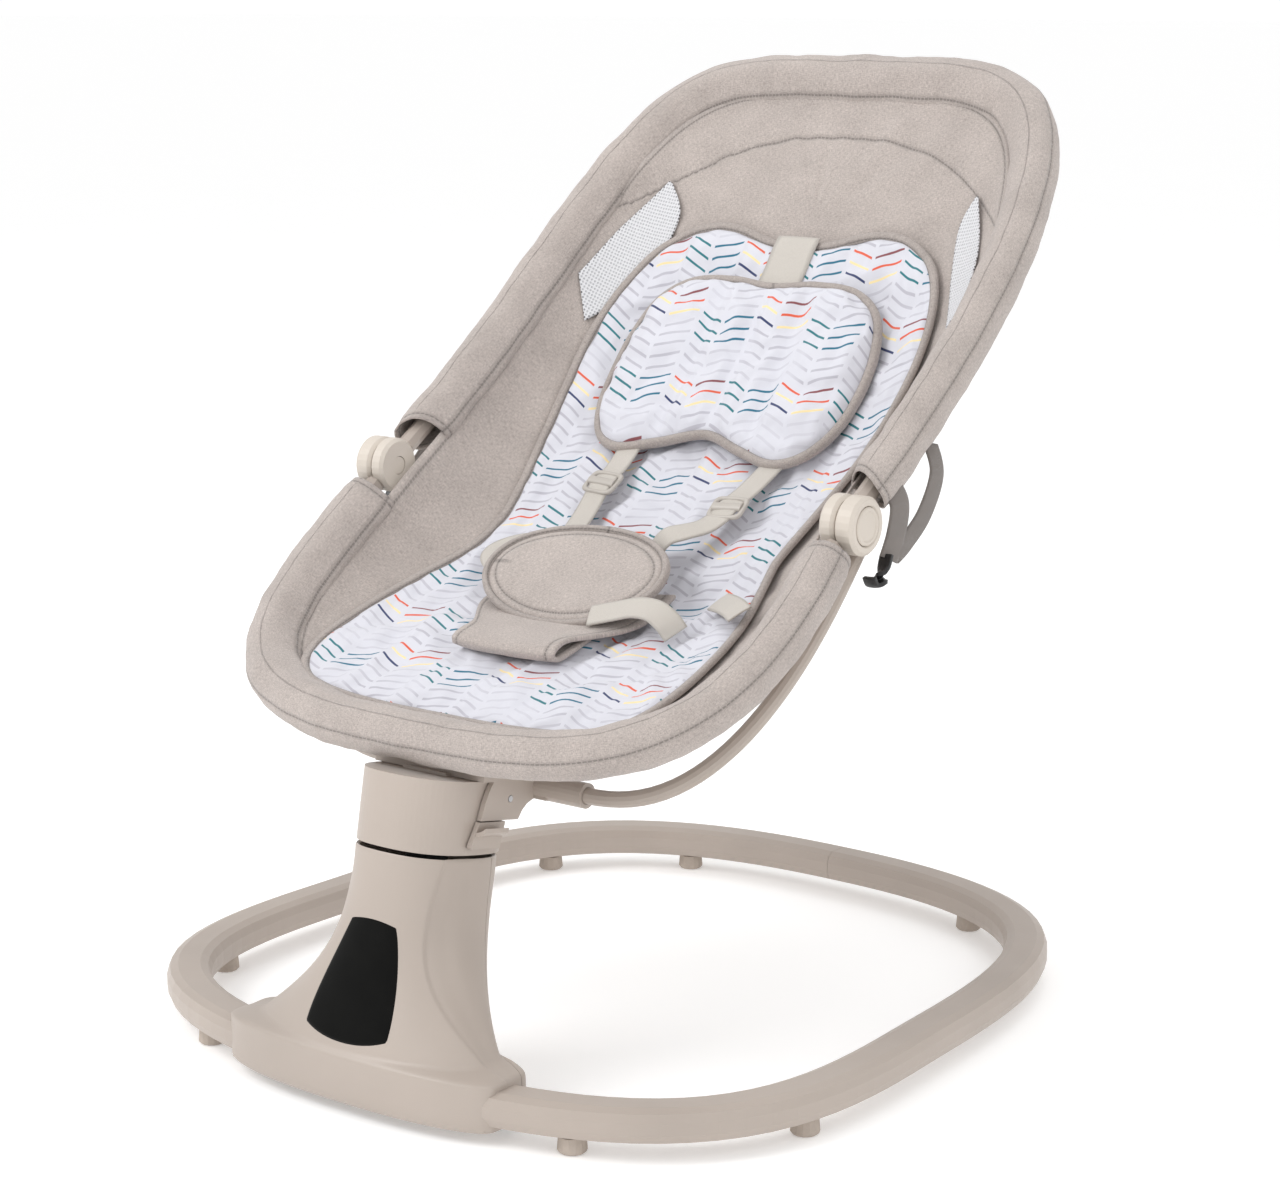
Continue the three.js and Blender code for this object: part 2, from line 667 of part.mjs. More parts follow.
function seatHalfWidth(s, inset = 0) {
  const back = s >= 0;
  const length = (back ? BACK_LENGTH : LEG_LENGTH) - inset;
  const power = back ? BACK_POWER : LEG_POWER;
  const spread = back ? BACK_SPREAD : LEG_SPREAD;
  const share = Math.min(Math.abs(s) / length, 1);
  const half = SEAT_HALF_WIDTH - inset;
  return half * (1 - share ** power) ** (1 / power) * (1 + spread * share);
}

class SeatTube extends THREE.Curve {
  constructor(back, from = 0) {
    super();
    this.back = back;
    this.from = from;
    this.arcLengthDivisions = 600;
  }

  getPoint(t) {
    const a = this.from + (Math.PI - 2 * this.from) * t;
    const length = this.back ? BACK_LENGTH : LEG_LENGTH;
    const power = this.back ? BACK_POWER : LEG_POWER;
    const spread = this.back ? BACK_SPREAD : LEG_SPREAD;
    const share = Math.abs(Math.sin(a)) ** (2 / power);
    const c = Math.cos(a);
    const across = Math.sign(c) * Math.abs(c) ** (2 / power);
    const line = this.back ? backLine(share * length) : legLine(share * length);
    return new THREE.Vector3(SEAT_HALF_WIDTH * across * (1 + spread * share), line.y, line.z);
  }
}

const hubTool = (radius) => rodX(radius, -260, 260, 48).translate(0, 0, HUB_Z);

function seatTube(back) {
  const path = new SeatTube(back);
  const tube = toSolid(sweep(circleSection(SEAT_TUBE_RADIUS), path, 28, 4));
  return toGeometry(cutFrom(tube, hubTool(HUB_RADIUS + GAP)));
}

function seatRoll(back) {
  const path = new SeatTube(back);
  const section = circleSection(ROLL_RADIUS, SEAT_TUBE_RADIUS + 0.8);
  const tube = toSolid(sweep(section, path, 28, 4));
  return toGeometry(cutFrom(tube, hubTool(ROLL_START + HUB_RADIUS / 2)));
}

// ---- rails ----
class RailCurve extends THREE.Curve {
  constructor() {
    super();
    const tilt = rad(SWING_TILT);
    this.startX = SOCKET_START + 1;
    this.bendX = SOCKET_END - 6;
    this.y0 = TOWER_TOP_Y + BEAM_Y * Math.cos(tilt) + BEAM_Z * Math.sin(tilt);
    this.z0 = TOWER_TOP_Z - BEAM_Y * Math.sin(tilt) + BEAM_Z * Math.cos(tilt);
    this.dy = RAIL_HUB_Y - this.y0;
    this.dz = HUB_Z - RAIL_HUB_DROP - this.z0;
    this.arcLengthDivisions = 400;
  }

  getPoint(t) {
    const straight = 0.1;
    if (t < straight) {
      const x = this.startX + ((this.bendX - this.startX) * t) / straight;
      return new THREE.Vector3(x, this.y0, this.z0);
    }
    const a = ((t - straight) / (1 - straight)) * (Math.PI / 2);
    const across = Math.sin(a) ** (2 / RAIL_POWER);
    const along = 1 - Math.cos(a) ** (2 / RAIL_POWER);
    const x = this.bendX + (RAIL_HUB_X - this.bendX) * across;
    return new THREE.Vector3(x, this.y0 + this.dy * along, this.z0 + this.dz * along);
  }
}

function rail() {
  const tube = toSolid(sweep(circleSection(RAIL_RADIUS), new RailCurve(), 36, 6));
  return toGeometry(cutFrom(tube, hubTool(HUB_RADIUS + GAP)));
}

// ---- hub hinges ----
function hubDisc(thickness, bore, pocket = 0, pocketDepth = 0) {
  const r = HUB_RADIUS;
  const e = HUB_EDGE;
  const profile = [[0, 0], [r - e, 0], [r, e], [r, thickness - e], [r - e, thickness]];
  const top = pocket > 0
    ? [[pocket + 1, thickness], [pocket, thickness - 1], [pocket, thickness - pocketDepth]]
    : [];
  const floor = pocket > 0 ? thickness - pocketDepth : thickness;
  const disc = turned([...profile, ...top, [0, floor]], 28).rotateZ(-Math.PI / 2);
  return bore > 0 ? toGeometry(cutFrom(toSolid(disc), rodX(bore, -40, 40, 16))) : disc;
}

function hubParts() {
  const inner = hubDisc(HUB_DISC, HUB_AXLE_RADIUS + RUNNING_GAP)
    .translate(HUB_INNER_FACE, 0, HUB_Z);
  const outerX = HUB_INNER_FACE + HUB_DISC + GAP * 2;
  const pocketDepth = BUTTON_THICKNESS + BUTTON_TRAVEL;
  const outer = toGeometry(join(
    hubDisc(HUB_OUTER_DISC, 0, BUTTON_RADIUS + RUNNING_GAP, pocketDepth),
    rodX(HUB_AXLE_RADIUS, -HUB_DISC, 1, 16),
  )).translate(outerX, 0, HUB_Z);
  const r = BUTTON_RADIUS;
  const t = BUTTON_THICKNESS;
  const faceX = outerX + HUB_OUTER_DISC;
  const profile = [[0, 0], [r, 0], [r, t - 1], [r - 1, t], [r - 2.5, t], [r - 3.5, t - 0.8], [0, t - 0.8]];
  const button = turned(profile, 24).rotateZ(-Math.PI / 2)
    .translate(faceX - t + 0.6, 0, HUB_Z);
  return { inner, outer, button };
}

// ---- soft surfaces ----
const layDown = rad(36); // the bucket hangs square to this slope

function bucketDepth(s) {
  const front = THREE.MathUtils.smoothstep(-s, -10, LEG_LENGTH - 30);
  const back = THREE.MathUtils.smoothstep(s, BUCKET_FALL_START, BUCKET_FALL_END);
  const fall = Math.max(front, back);
  return BUCKET_EDGE + (BUCKET_DEPTH - BUCKET_EDGE) * (1 - fall);
}

function seatSurface(x, s, lift) {
  const line = seatLine(s);
  const half = Math.max(slingHalf(s), 20);
  const a = Math.min(Math.abs(x) / half, 1);
  const reach = Math.min(Math.abs(s) / ((s < 0 ? LEG_LENGTH : BACK_LENGTH) - SLING_INSET), 1);
  const sag = bucketDepth(s) * (1 - a ** BUCKET_WALL_POWER) * (1 - reach ** 8);
  const drop = sag + BUCKET_EDGE * 0.6 - lift;
  return new THREE.Vector3(x, line.y + drop * Math.sin(layDown), line.z - drop * Math.cos(layDown));
}

function softSheet(from, to, halfWidth, low, high, across = 16, along = 10) {
  const unit = new THREE.BoxGeometry(1, 1, 1, across, along, 1);
  return warp(unit, (p) => {
    const s = from + (to - from) * (p.y + 0.5);
    return seatSurface(p.x * 2 * halfWidth(s), s, p.z < 0 ? low : high);
  });
}

const slingHalf = (s) => seatHalfWidth(s, SLING_INSET);

function linerHalf(s) {
  const toe = Math.sqrt(Math.max(1 - (Math.max(-s - LINER_TOE + 50, 0) / 52) ** 2, 0));
  const top = Math.sqrt(Math.max(1 - (Math.max(s - LINER_TOP + 66, 0) / 70) ** 2, 0));
  const flare = LINER_FLARE * Math.min(Math.abs(s) / 150, 1) ** 1.3;
  return (LINER_WAIST + flare) * Math.min(toe * 0.4 + 0.6, top * 0.4 + 0.6);
}

const linerLow = SLING_THICKNESS + SOFT_GAP;
const linerHigh = linerLow + LINER_THICKNESS;

function strapSheet(path, from, to, low) {
  const unit = new THREE.BoxGeometry(1, 1, 1, 1, 10, 1);
  return warp(unit, (p) => {
    const t = p.y + 0.5;
    const s = from + (to - from) * t;
    const lift = low + (p.z + 0.5) * WEBBING_THICKNESS;
    return seatSurface(path(t) + p.x * WEBBING_WIDTH, s, lift);
  });
}

function headPillow() {
  const unit = new THREE.BoxGeometry(1, 1, 1, 8, 6, 2);
  return warp(unit, (p) => {
    const t = p.y + 0.5;
    const s = PILLOW_LOW + (PILLOW_HIGH - PILLOW_LOW) * t;
    const round = Math.sqrt(1 - (2 * p.y * 0.8) ** 2);
    const x = p.x * 2 * PILLOW_HALF_WIDTH * (0.35 + 0.65 * round);
    const crown = (1 - (2 * p.x) ** 2 * 0.55) * (1 - (2 * p.y) ** 2 * 0.55);
    const lift = linerHigh + SOFT_GAP + WEBBING_THICKNESS + SOFT_GAP + (p.z + 0.5) * PILLOW_THICKNESS * crown;
    return seatSurface(x, s, lift);
  });
}

function roundPad(halfX, halfY, low, high, s0) {
  const unit = new THREE.BoxGeometry(1, 1, 1, 6, 6, 1);
  return warp(unit, (p) => {
    const u = 2 * p.x;
    const v = 2 * p.y;
    const x = halfX * u * Math.sqrt(1 - (v * v) / 2);
    const y = halfY * v * Math.sqrt(1 - (u * u) / 2);
    return seatSurface(x, s0 + y, low + (p.z + 0.5) * (high - low));
  });
}

// ---- assembly ----
function addPair(name, geometry, material, parent = stand) {
  add(`${name}_right`, geometry, material(), parent);
  add(`${name}_left`, mirrored(geometry), material(), parent);
}

function addBase() {
  const shell = () => paint(TAUPE, 0.45);
  addPair('base_arm', ringArm(), shell);
  add('base_spigot', ringSpigot(), paint(0x6e6a66, 0.5));
  FOOT_PAD_POSITIONS.forEach((degrees, i) => {
    for (const side of [1, -1]) {
      const at = ringPoint(rad(degrees));
      const word = side > 0 ? 'right' : 'left';
      const pad = footPad().translate(side * at.x, at.y, 0);
      add(`foot_pad_${word}_${i + 1}`, pad, paint(0x9c9186, 0.8));
    }
  });
}

function addTower() {
  const tower = towerParts();
  add('tower_front', tower.front, paint(TAUPE, 0.42));
  add('tower_rear_cover', tower.rear, paint(TAUPE, 0.45));
  add('control_panel', tower.panel, paint(0x0b0b0c, 0.08));
  add('foot_cover', footCover(), paint(0x8d8378, 0.6));
  const drive = driveParts();
  add('swing_bush', drive.bush, paint(0xe8e4dc, 0.4), swingFrame);
  add('swing_spindle', drive.spindle, paint(0x9a9a9c, 0.3, 1), swingFrame);
  add('swing_gear', drive.gear, paint(0xe6e2d8, 0.45), swingFrame);
  add('motor_pinion', drive.pinion, paint(0xe6e2d8, 0.45), swingFrame);
  add('drive_motor', drive.motor, paint(0x8b8b8e, 0.35, 1), swingFrame);
  const board = block(9, 40, 8, 8 + BOARD_THICKNESS, -88, -56);
  add('circuit_board', board, paint(0x2c5a3c, 0.5), swingFrame);
  const speaker = rod(SPEAKER_RADIUS, -104, -104 + SPEAKER_DEPTH, 24).translate(22, -10, 0);
  add('speaker', speaker, paint(0x2b2b2c, 0.6), swingFrame);
  const inlet = cutFrom(
    toSolid(inletTool(INLET_RADIUS, -INLET_LENGTH + 1.5, 1.5)),
    inletTool(INLET_BORE, -INLET_LENGTH + 6, 8),
  );
  add('power_inlet', toGeometry(inlet), paint(0x1d1d1e, 0.5));
}

function addHeadAndSaddle() {
  add('swing_head', headShell(), paint(TAUPE, 0.42), swingFrame);
  add('seat_saddle', saddle(), paint(TAUPE, 0.45), swingFrame);
  addPair('release_lever', releaseLever(), () => paint(TAUPE, 0.4), swingFrame);
  for (const side of [1, -1]) {
    const word = side > 0 ? 'right' : 'left';
    add(`saddle_screw_${word}`, saddleScrew(side), paint(0x8a8a8c, 0.35, 1), swingFrame);
  }
}

function addSeatFrame() {
  addPair('seat_rail', rail(), () => paint(TAUPE, 0.4));
  const hub = hubParts();
  addPair('hub_inner', hub.inner, () => paint(CREAM, 0.45));
  addPair('hub_outer', hub.outer, () => paint(CREAM, 0.42));
  addPair('hub_button', hub.button, () => paint(CREAM, 0.4));
  add('leg_tube', seatTube(false), paint(TAUPE, 0.4));
  add('back_tube', seatTube(true), paint(TAUPE, 0.4));
}

function addSoftGoods() {
  const cloth = () => paint(MELANGE, 0.95);
  const print = () => paint(0xf1f0f2, 0.95);
  const web = () => paint(0xc9c5bd, 0.9);
  add('cover_roll_leg', seatRoll(false), cloth());
  add('cover_roll_back', seatRoll(true), cloth());
  const legEnd = -(LEG_LENGTH - SLING_INSET) * SLING_REACH;
  const headEnd = (BACK_LENGTH - SLING_INSET) * SLING_REACH;
  add('sling_leg', softSheet(legEnd, -HIP_HALF, slingHalf, 0, SLING_THICKNESS), cloth());
  add('sling_hip', softSheet(-HIP_HALF + GAP, HIP_HALF - GAP, slingHalf, 0, SLING_THICKNESS, 16, 4), cloth());
  add('sling_back', softSheet(HIP_HALF, headEnd, slingHalf, 0, SLING_THICKNESS), cloth());
  add('liner_leg', softSheet(-LINER_TOE, -HIP_HALF, linerHalf, linerLow, linerHigh), print());
  const hipLiner = softSheet(-HIP_HALF + GAP, HIP_HALF - GAP, linerHalf, linerLow, linerHigh, 16, 4);
  add('liner_hip', hipLiner, print());
  add('liner_back', softSheet(HIP_HALF, LINER_TOP, linerHalf, linerLow, linerHigh), print());
  add('head_pillow', headPillow(), print());
  const top = linerHigh + SOFT_GAP;
  const pillowStrap = strapSheet(() => 0, PILLOW_HIGH + 2, LINER_TOP + 8, top);
  add('pillow_strap', pillowStrap, web());
  const shoulder = strapSheet((t) => SHOULDER_SPACING - 14 * (1 - t), HIP_HALF + 2, PILLOW_LOW - 2, top);
  addPair('shoulder_strap', shoulder, web);
  const slider = block(-14, 14, -9, 9, 0, 3.2).rotateX(layDown)
    .translate(...seatSurface(SHOULDER_SPACING - 8, ADJUSTER_PLACE, top + 3).toArray());
  addPair('strap_adjuster', slider, () => paint(0xc4bfb5, 0.4));
  const flapTop = top + FLAP_THICKNESS;
  add('crotch_flap', roundPad(FLAP_HALF_X, FLAP_HALF_Y, top, flapTop, FLAP_PLACE), cloth());
  const padLow = flapTop + SOFT_GAP;
  add('crotch_pad', roundPad(PAD_HALF_X, PAD_HALF_Y, padLow, padLow + PAD_THICKNESS, PAD_PLACE), cloth());
}

addBase();
addTower();
addHeadAndSaddle();
addSeatFrame();
addSoftGoods();

const box = new THREE.Box3().setFromObject(stand);
stand.position.y = -(box.min.y + box.max.y) / 2;

export default bouncer;
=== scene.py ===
import math

import bpy
from bpy.props import FloatProperty, FloatVectorProperty, IntProperty, PointerProperty
from mathutils import Matrix, Vector, noise


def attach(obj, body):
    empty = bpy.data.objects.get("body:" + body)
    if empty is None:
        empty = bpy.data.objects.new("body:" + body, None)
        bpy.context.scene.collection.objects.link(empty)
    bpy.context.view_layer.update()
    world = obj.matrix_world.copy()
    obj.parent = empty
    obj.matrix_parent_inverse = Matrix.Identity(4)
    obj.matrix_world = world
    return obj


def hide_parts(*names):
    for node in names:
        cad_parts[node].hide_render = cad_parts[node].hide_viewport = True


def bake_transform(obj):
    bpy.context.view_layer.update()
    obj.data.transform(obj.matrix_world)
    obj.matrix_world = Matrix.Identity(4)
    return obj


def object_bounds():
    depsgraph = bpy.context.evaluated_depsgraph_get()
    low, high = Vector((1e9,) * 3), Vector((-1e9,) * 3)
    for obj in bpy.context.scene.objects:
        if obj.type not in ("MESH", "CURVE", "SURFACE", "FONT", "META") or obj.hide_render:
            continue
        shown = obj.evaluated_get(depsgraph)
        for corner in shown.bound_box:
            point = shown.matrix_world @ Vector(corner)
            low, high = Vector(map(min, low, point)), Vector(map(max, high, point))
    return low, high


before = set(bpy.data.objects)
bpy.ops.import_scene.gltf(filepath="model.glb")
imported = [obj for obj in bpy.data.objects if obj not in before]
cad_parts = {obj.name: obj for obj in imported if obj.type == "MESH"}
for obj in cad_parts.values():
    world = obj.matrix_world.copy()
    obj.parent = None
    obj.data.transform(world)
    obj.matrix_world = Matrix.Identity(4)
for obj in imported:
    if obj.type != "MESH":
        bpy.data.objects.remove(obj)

CAD_BOX = [list(corner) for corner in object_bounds()]

bl_info = {
    "name": "Bouncer seat",
    "version": (1, 0, 0),
    "blender": (4, 5, 0),
    "location": "View3D > Sidebar > Bouncer",
    "description": "Builds the fabrics, harness and finishes of an electric baby bouncer seat",
    "category": "Object",
}

# ---- the seat's lines, in metres: they repeat the frame's own curves ----
HUB_Y = -0.0318
HUB_Z = 0.3966
SEAT_HALF_WIDTH = 0.215
LEG = {"length": 0.279, "angle": math.radians(-39.7), "lift": 0.033, "power": 3.08, "spread": 0.11}
BACK = {"length": 0.4567, "angle": math.radians(31.7), "curl": 0.0684, "power": 4.57, "spread": 0.017}
LAY_DOWN = math.radians(36)
SLING_INSET = 0.020
BUCKET_DEPTH = 0.066
BUCKET_EDGE = 0.009
WALL_POWER = 5
NORMAL = Vector((0, -math.sin(LAY_DOWN), math.cos(LAY_DOWN)))


SEAM_LINES = ("seam_first", "seam_second")


def smooth(value, low, high):
    share = min(max((value - low) / (high - low), 0.0), 1.0)
    return share * share * (3 - 2 * share)


def seat_line(s):
    """The seat's side line: a point in y and z at s along it, negative towards the toes."""
    if s < 0:
        u = -s
        y = -u * math.cos(LEG["angle"])
        z = u * math.sin(LEG["angle"]) + LEG["lift"] * (u / LEG["length"]) ** 2
    else:
        curl = BACK["curl"] * (s / BACK["length"]) ** 2
        y = s * math.cos(BACK["angle"]) - curl * math.sin(BACK["angle"])
        z = s * math.sin(BACK["angle"]) + curl * math.cos(BACK["angle"])
    return Vector((0, HUB_Y + y, HUB_Z + z))


def half_width(s, inset):
    side = LEG if s < 0 else BACK
    share = min(abs(s) / (side["length"] - inset), 1.0)
    width = max(1 - share ** side["power"], 0.0) ** (1 / side["power"])
    return (SEAT_HALF_WIDTH - inset) * width * (1 + side["spread"] * share)


def bucket(s):
    front = smooth(-s, -0.010, 0.249)
    back = smooth(s, 0.100, 0.430)
    return BUCKET_EDGE + (BUCKET_DEPTH - BUCKET_EDGE) * (1 - max(front, back))


def seat_point(x, s, lift=0.0):
    """A point on the sling at x across and s along it, raised by lift."""
    side = LEG if s < 0 else BACK
    reach = min(abs(s) / (side["length"] - SLING_INSET), 1.0)
    across = min(abs(x) / max(half_width(s, SLING_INSET), 0.020), 1.0)
    drop = bucket(s) * (1 - across ** WALL_POWER) * (1 - reach ** 8) + 0.0054
    point = seat_line(s) - (drop - lift) * NORMAL
    point.x = x
    return point


def loop_table(side, inset, steps=1600):
    """Half of the seat's outline from right to left, as (length so far, x, s)."""
    rows, run, last = [], 0.0, None
    sign = -1 if side is LEG else 1
    for i in range(steps + 1):
        angle = math.pi * i / steps
        share = abs(math.sin(angle)) ** (2 / side["power"])
        cosine = math.cos(angle)
        across = math.copysign(abs(cosine) ** (2 / side["power"]), cosine)
        x = (SEAT_HALF_WIDTH - inset) * across * (1 + side["spread"] * share)
        s = sign * share * (side["length"] - inset)
        if last:
            run += math.hypot(x - last[0], s - last[1])
        rows.append((run, x, s))
        last = (x, s)
    return rows


def at_length(rows, length):
    low, high = 0, len(rows) - 1
    while high - low > 1:
        middle = (low + high) // 2
        if rows[middle][0] > length:
            high = middle
        else:
            low = middle
    span = rows[high][0] - rows[low][0] or 1.0
    share = min(max((length - rows[low][0]) / span, 0.0), 1.0)
    return tuple(a + (b - a) * share for a, b in zip(rows[low][1:], rows[high][1:]))


def curve_point(a, b, c, d, t):
    """A point between b and c, at share t, on the smooth line through a, b, c and d."""
    found = []
    for p, q, r, w in zip(a, b, c, d):
        square, cube = 2 * p - 5 * q + 4 * r - w, 3 * q - p - 3 * r + w
        found.append(0.5 * (2 * q + (r - p) * t + square * t * t + cube * t**3))
    return tuple(found)


def spline(points, steps):
    """A smooth open line through points, each a tuple of numbers, in equal steps of length."""
    dense = []
    ends = [points[0], *points, points[-1]]
    for i in range(len(points) - 1):
        a, b, c, d = ends[i : i + 4]
        for j in range(24):
            dense.append(curve_point(a, b, c, d, j / 24))
    dense.append(tuple(points[-1]))
    rows, run = [(0.0, *dense[0])], 0.0
    for a, b in zip(dense, dense[1:]):
        run += math.dist(a, b)
        rows.append((run, *b))
    return [at_length(rows, run * i / steps) for i in range(steps + 1)]


# ---- making pieces ----
def choose(*objects):
    bpy.ops.object.select_all(action="DESELECT")
    for obj in objects:
        obj.select_set(True)
    bpy.context.view_layer.objects.active = objects[0]


def cloth_grid(name, across, along, place, chart, marks=None, flip=False):
    """A grid primitive laid out by place(u, v), with its pattern map from chart(u, v) and seam marks."""
    bpy.ops.object.select_all(action="DESELECT")
    bpy.ops.mesh.primitive_grid_add(x_subdivisions=across, y_subdivisions=along, size=2)
    obj = bpy.context.object
    obj.name = obj.data.name = name
    mesh = obj.data
    shares = [(v.co.x * 0.5 + 0.5, v.co.y * 0.5 + 0.5) for v in mesh.vertices]
    layer = mesh.uv_layers.active or mesh.uv_layers.new(name="UVMap")
    charts = [chart(u, v) for u, v in shares]
    for loop in mesh.loops:
        layer.data[loop.index].uv = charts[loop.vertex_index]
    if marks:
        found = [marks(u, v) for u, v in shares]
        store_marks(mesh, found)
    for vertex, (u, v) in zip(mesh.vertices, shares):
        vertex.co = place(u, v)
    if flip:
        mesh.flip_normals()
    choose(obj)
    bpy.ops.object.shade_smooth()
    return obj


def store_marks(mesh, rows):
    """Keeps each point's distance to two stitched lines, and the run along each, for the cloth's finish."""
    for i, key in enumerate(SEAM_LINES):
        attribute = mesh.attributes.new(key, "FLOAT_VECTOR", "POINT")
        values = []
        for row in rows:
            distance, run = row[i] if i < len(row) else (1.0, 0.0)
            values.extend((distance, run, 0.0))
        attribute.data.foreach_set("vector", values)


def weld(obj, distance=1e-5):
    choose(obj)
    bpy.ops.object.mode_set(mode="EDIT")
    bpy.ops.mesh.select_all(action="SELECT")
    bpy.ops.mesh.remove_doubles(threshold=distance)
    bpy.ops.object.mode_set(mode="OBJECT")


def apply_modifier(obj, kind, **settings):
    choose(obj)
    modifier = obj.modifiers.new(kind.title(), kind)
    for key, value in settings.items():
        setattr(modifier, key, value)
    bpy.ops.object.modifier_apply(modifier=modifier.name)


def thicken(obj, thickness, offset=-1.0):
    apply_modifier(obj, "SOLIDIFY", thickness=thickness, offset=offset, use_even_offset=False)


def refine(obj, levels=1):
    apply_modifier(obj, "SUBSURF", levels=levels, render_levels=levels)


def join(name, objects):
    choose(*objects)
    if len(objects) > 1:
        bpy.ops.object.join()
    obj = bpy.context.object
    obj.name = obj.data.name = name
    return obj


def dress(obj, material):
    obj.data.materials.clear()
    obj.data.materials.append(material)
    return obj


def bend_with_seat(obj):
    """Bakes a soft piece's placement into its mesh."""
    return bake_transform(obj)


def swell(obj, held, pressure, growth, cap):
    """Blows a closed pad up with cloth, its held points pinned and each move past cap eased, so that no point
    moves more than one and a half times cap.
    """
    rest = [v.co.copy() for v in obj.data.vertices]
    group = obj.vertex_groups.new(name="held")
    for index, weight in held.items():
        group.add([index], weight, "REPLACE")
    cloth = obj.modifiers.new("Cloth", "CLOTH")
    settings = cloth.settings
    settings.quality = 5
    settings.mass = 0.3
    settings.tension_stiffness = settings.compression_stiffness = 12
    settings.shear_stiffness = 4
    settings.bending_stiffness = 0.3
    settings.use_pressure = True
    settings.uniform_pressure_force = pressure
    settings.shrink_min = -growth
    settings.vertex_group_mass = "held"
    settings.effector_weights.gravity = 0
    cloth.collision_settings.use_collision = False
    for number in range(1, 21):
        bpy.context.scene.frame_set(number)
    evaluated = obj.evaluated_get(bpy.context.evaluated_depsgraph_get())
    moved = [v.co.copy() for v in evaluated.data.vertices]
    obj.modifiers.remove(cloth)
    obj.vertex_groups.remove(group)
    bpy.context.scene.frame_set(1)
    for vertex, a, b in zip(obj.data.vertices, rest, moved):
        step = b - a
        if step.length > cap:
            step = step.normalized() * (cap * (2 - cap / step.length) if step.length < 2 * cap else cap * 1.5)
        vertex.co = a + step


# ---- materials ----
def nodes_of(name):
    material = bpy.data.materials.new(name)
    material.use_nodes = True
    tree = material.node_tree
    shader = next(n for n in tree.nodes if n.type == "BSDF_PRINCIPLED")
    return material, tree, shader


def node(tree, kind, inputs=None, **settings):
    made = tree.nodes.new(kind)
    for key, value in settings.items():
        setattr(made, key, value)
    for key, value in (inputs or {}).items():
        socket = made.inputs[key]
        if isinstance(value, bpy.types.NodeSocket):
            tree.links.new(value, socket)
        else:
            socket.default_value = value
    return made


def math_node(tree, operation, *values, clamp=False):
    made = node(tree, "ShaderNodeMath", dict(enumerate(values)), operation=operation, use_clamp=clamp)
    return made.outputs[0]


def ramp(tree, value, stops):
    made = node(tree, "ShaderNodeValToRGB", {"Fac": value})
    elements = made.color_ramp.elements
    while len(elements) < len(stops):
        elements.new(0.5)
    for element, (position, color) in zip(elements, stops):
        element.position = position
        element.color = (*color, 1) if len(color) == 3 else color
    return made.outputs["Color"]


def mix(tree, factor, a, b, blend_type="MIX"):
    made = node(tree, "ShaderNodeMix", data_type="RGBA", blend_type=blend_type)
    for index, value in ((0, factor), (6, a), (7, b)):
        socket = made.inputs[index]
        if isinstance(value, bpy.types.NodeSocket):
            tree.links.new(value, socket)
        elif index == 0:
            socket.default_value = value
        else:
            socket.default_value = (*value, 1)
    return made.outputs[2]


def bump(tree, height, strength, distance, below=None):
    made = node(tree, "ShaderNodeBump", {"Height": height, "Strength": strength, "Distance": distance})
    if below:
        tree.links.new(below, made.inputs["Normal"])
    return made.outputs["Normal"]


def object_place(tree, scale=(1, 1, 1)):
    coords = node(tree, "ShaderNodeTexCoord")
    return node(tree, "ShaderNodeMapping", {"Vector": coords.outputs["Object"], "Scale": scale}).outputs[0]


def uv_place(tree, scale=(1, 1, 1)):
    coords = node(tree, "ShaderNodeUVMap", uv_map="UVMap")
    return node(tree, "ShaderNodeMapping", {"Vector": coords.outputs[0], "Scale": scale}).outputs[0]


def grain(tree, place, scale, detail=3.0, rough=0.55):
    return node(
        tree, "ShaderNodeTexNoise", {"Vector": place, "Scale": scale, "Detail": detail, "Roughness": rough}
    ).outputs["Fac"]


def plastic(name, color, roughness, texture=0.00012, gloss=0.5):
    """Moulded plastic: a fine spark texture, faint flow variation and slightly rubbed patches."""
    material, tree, shader = nodes_of(name)
    place = object_place(tree)
    flow = grain(tree, place, 7.0, 2.0)
    spark = grain(tree, place, 1500.0, 1.0)
    pale = tuple(min(c * 1.05, 1) for c in color)
    deep = tuple(c * 0.95 for c in color)
    tint = ramp(tree, flow, [(0.35, deep), (0.65, pale)])
    tree.links.new(tint, shader.inputs["Base Color"])
    rub = node(
        tree,
        "ShaderNodeMapRange",
        {"Value": grain(tree, place, 22.0, 4.0), "From Min": 0.3, "From Max": 0.7,
         "To Min": roughness - 0.04, "To Max": roughness + 0.06},
    ).outputs[0]
    tree.links.new(rub, shader.inputs["Roughness"])
    tree.links.new(bump(tree, spark, 0.5, texture), shader.inputs["Normal"])
    shader.inputs["Specular IOR Level"].default_value = gloss
    return material


def gloss_panel(name):
    """The touch panel: a smoked gloss face with faint polish haze."""
    material, tree, shader = nodes_of(name)
    haze = grain(tree, object_place(tree), 60.0, 4.0)
    tree.links.new(ramp(tree, haze, [(0.3, (0.0025, 0.0025, 0.0022)), (0.7, (0.004, 0.004, 0.0035))]),
                   shader.inputs["Base Color"])
    rough = node(tree, "ShaderNodeMapRange", {"Value": haze, "To Min": 0.03, "To Max": 0.10}).outputs[0]
    tree.links.new(rough, shader.inputs["Roughness"])
    shader.inputs["Specular IOR Level"].default_value = 0.12
    return material


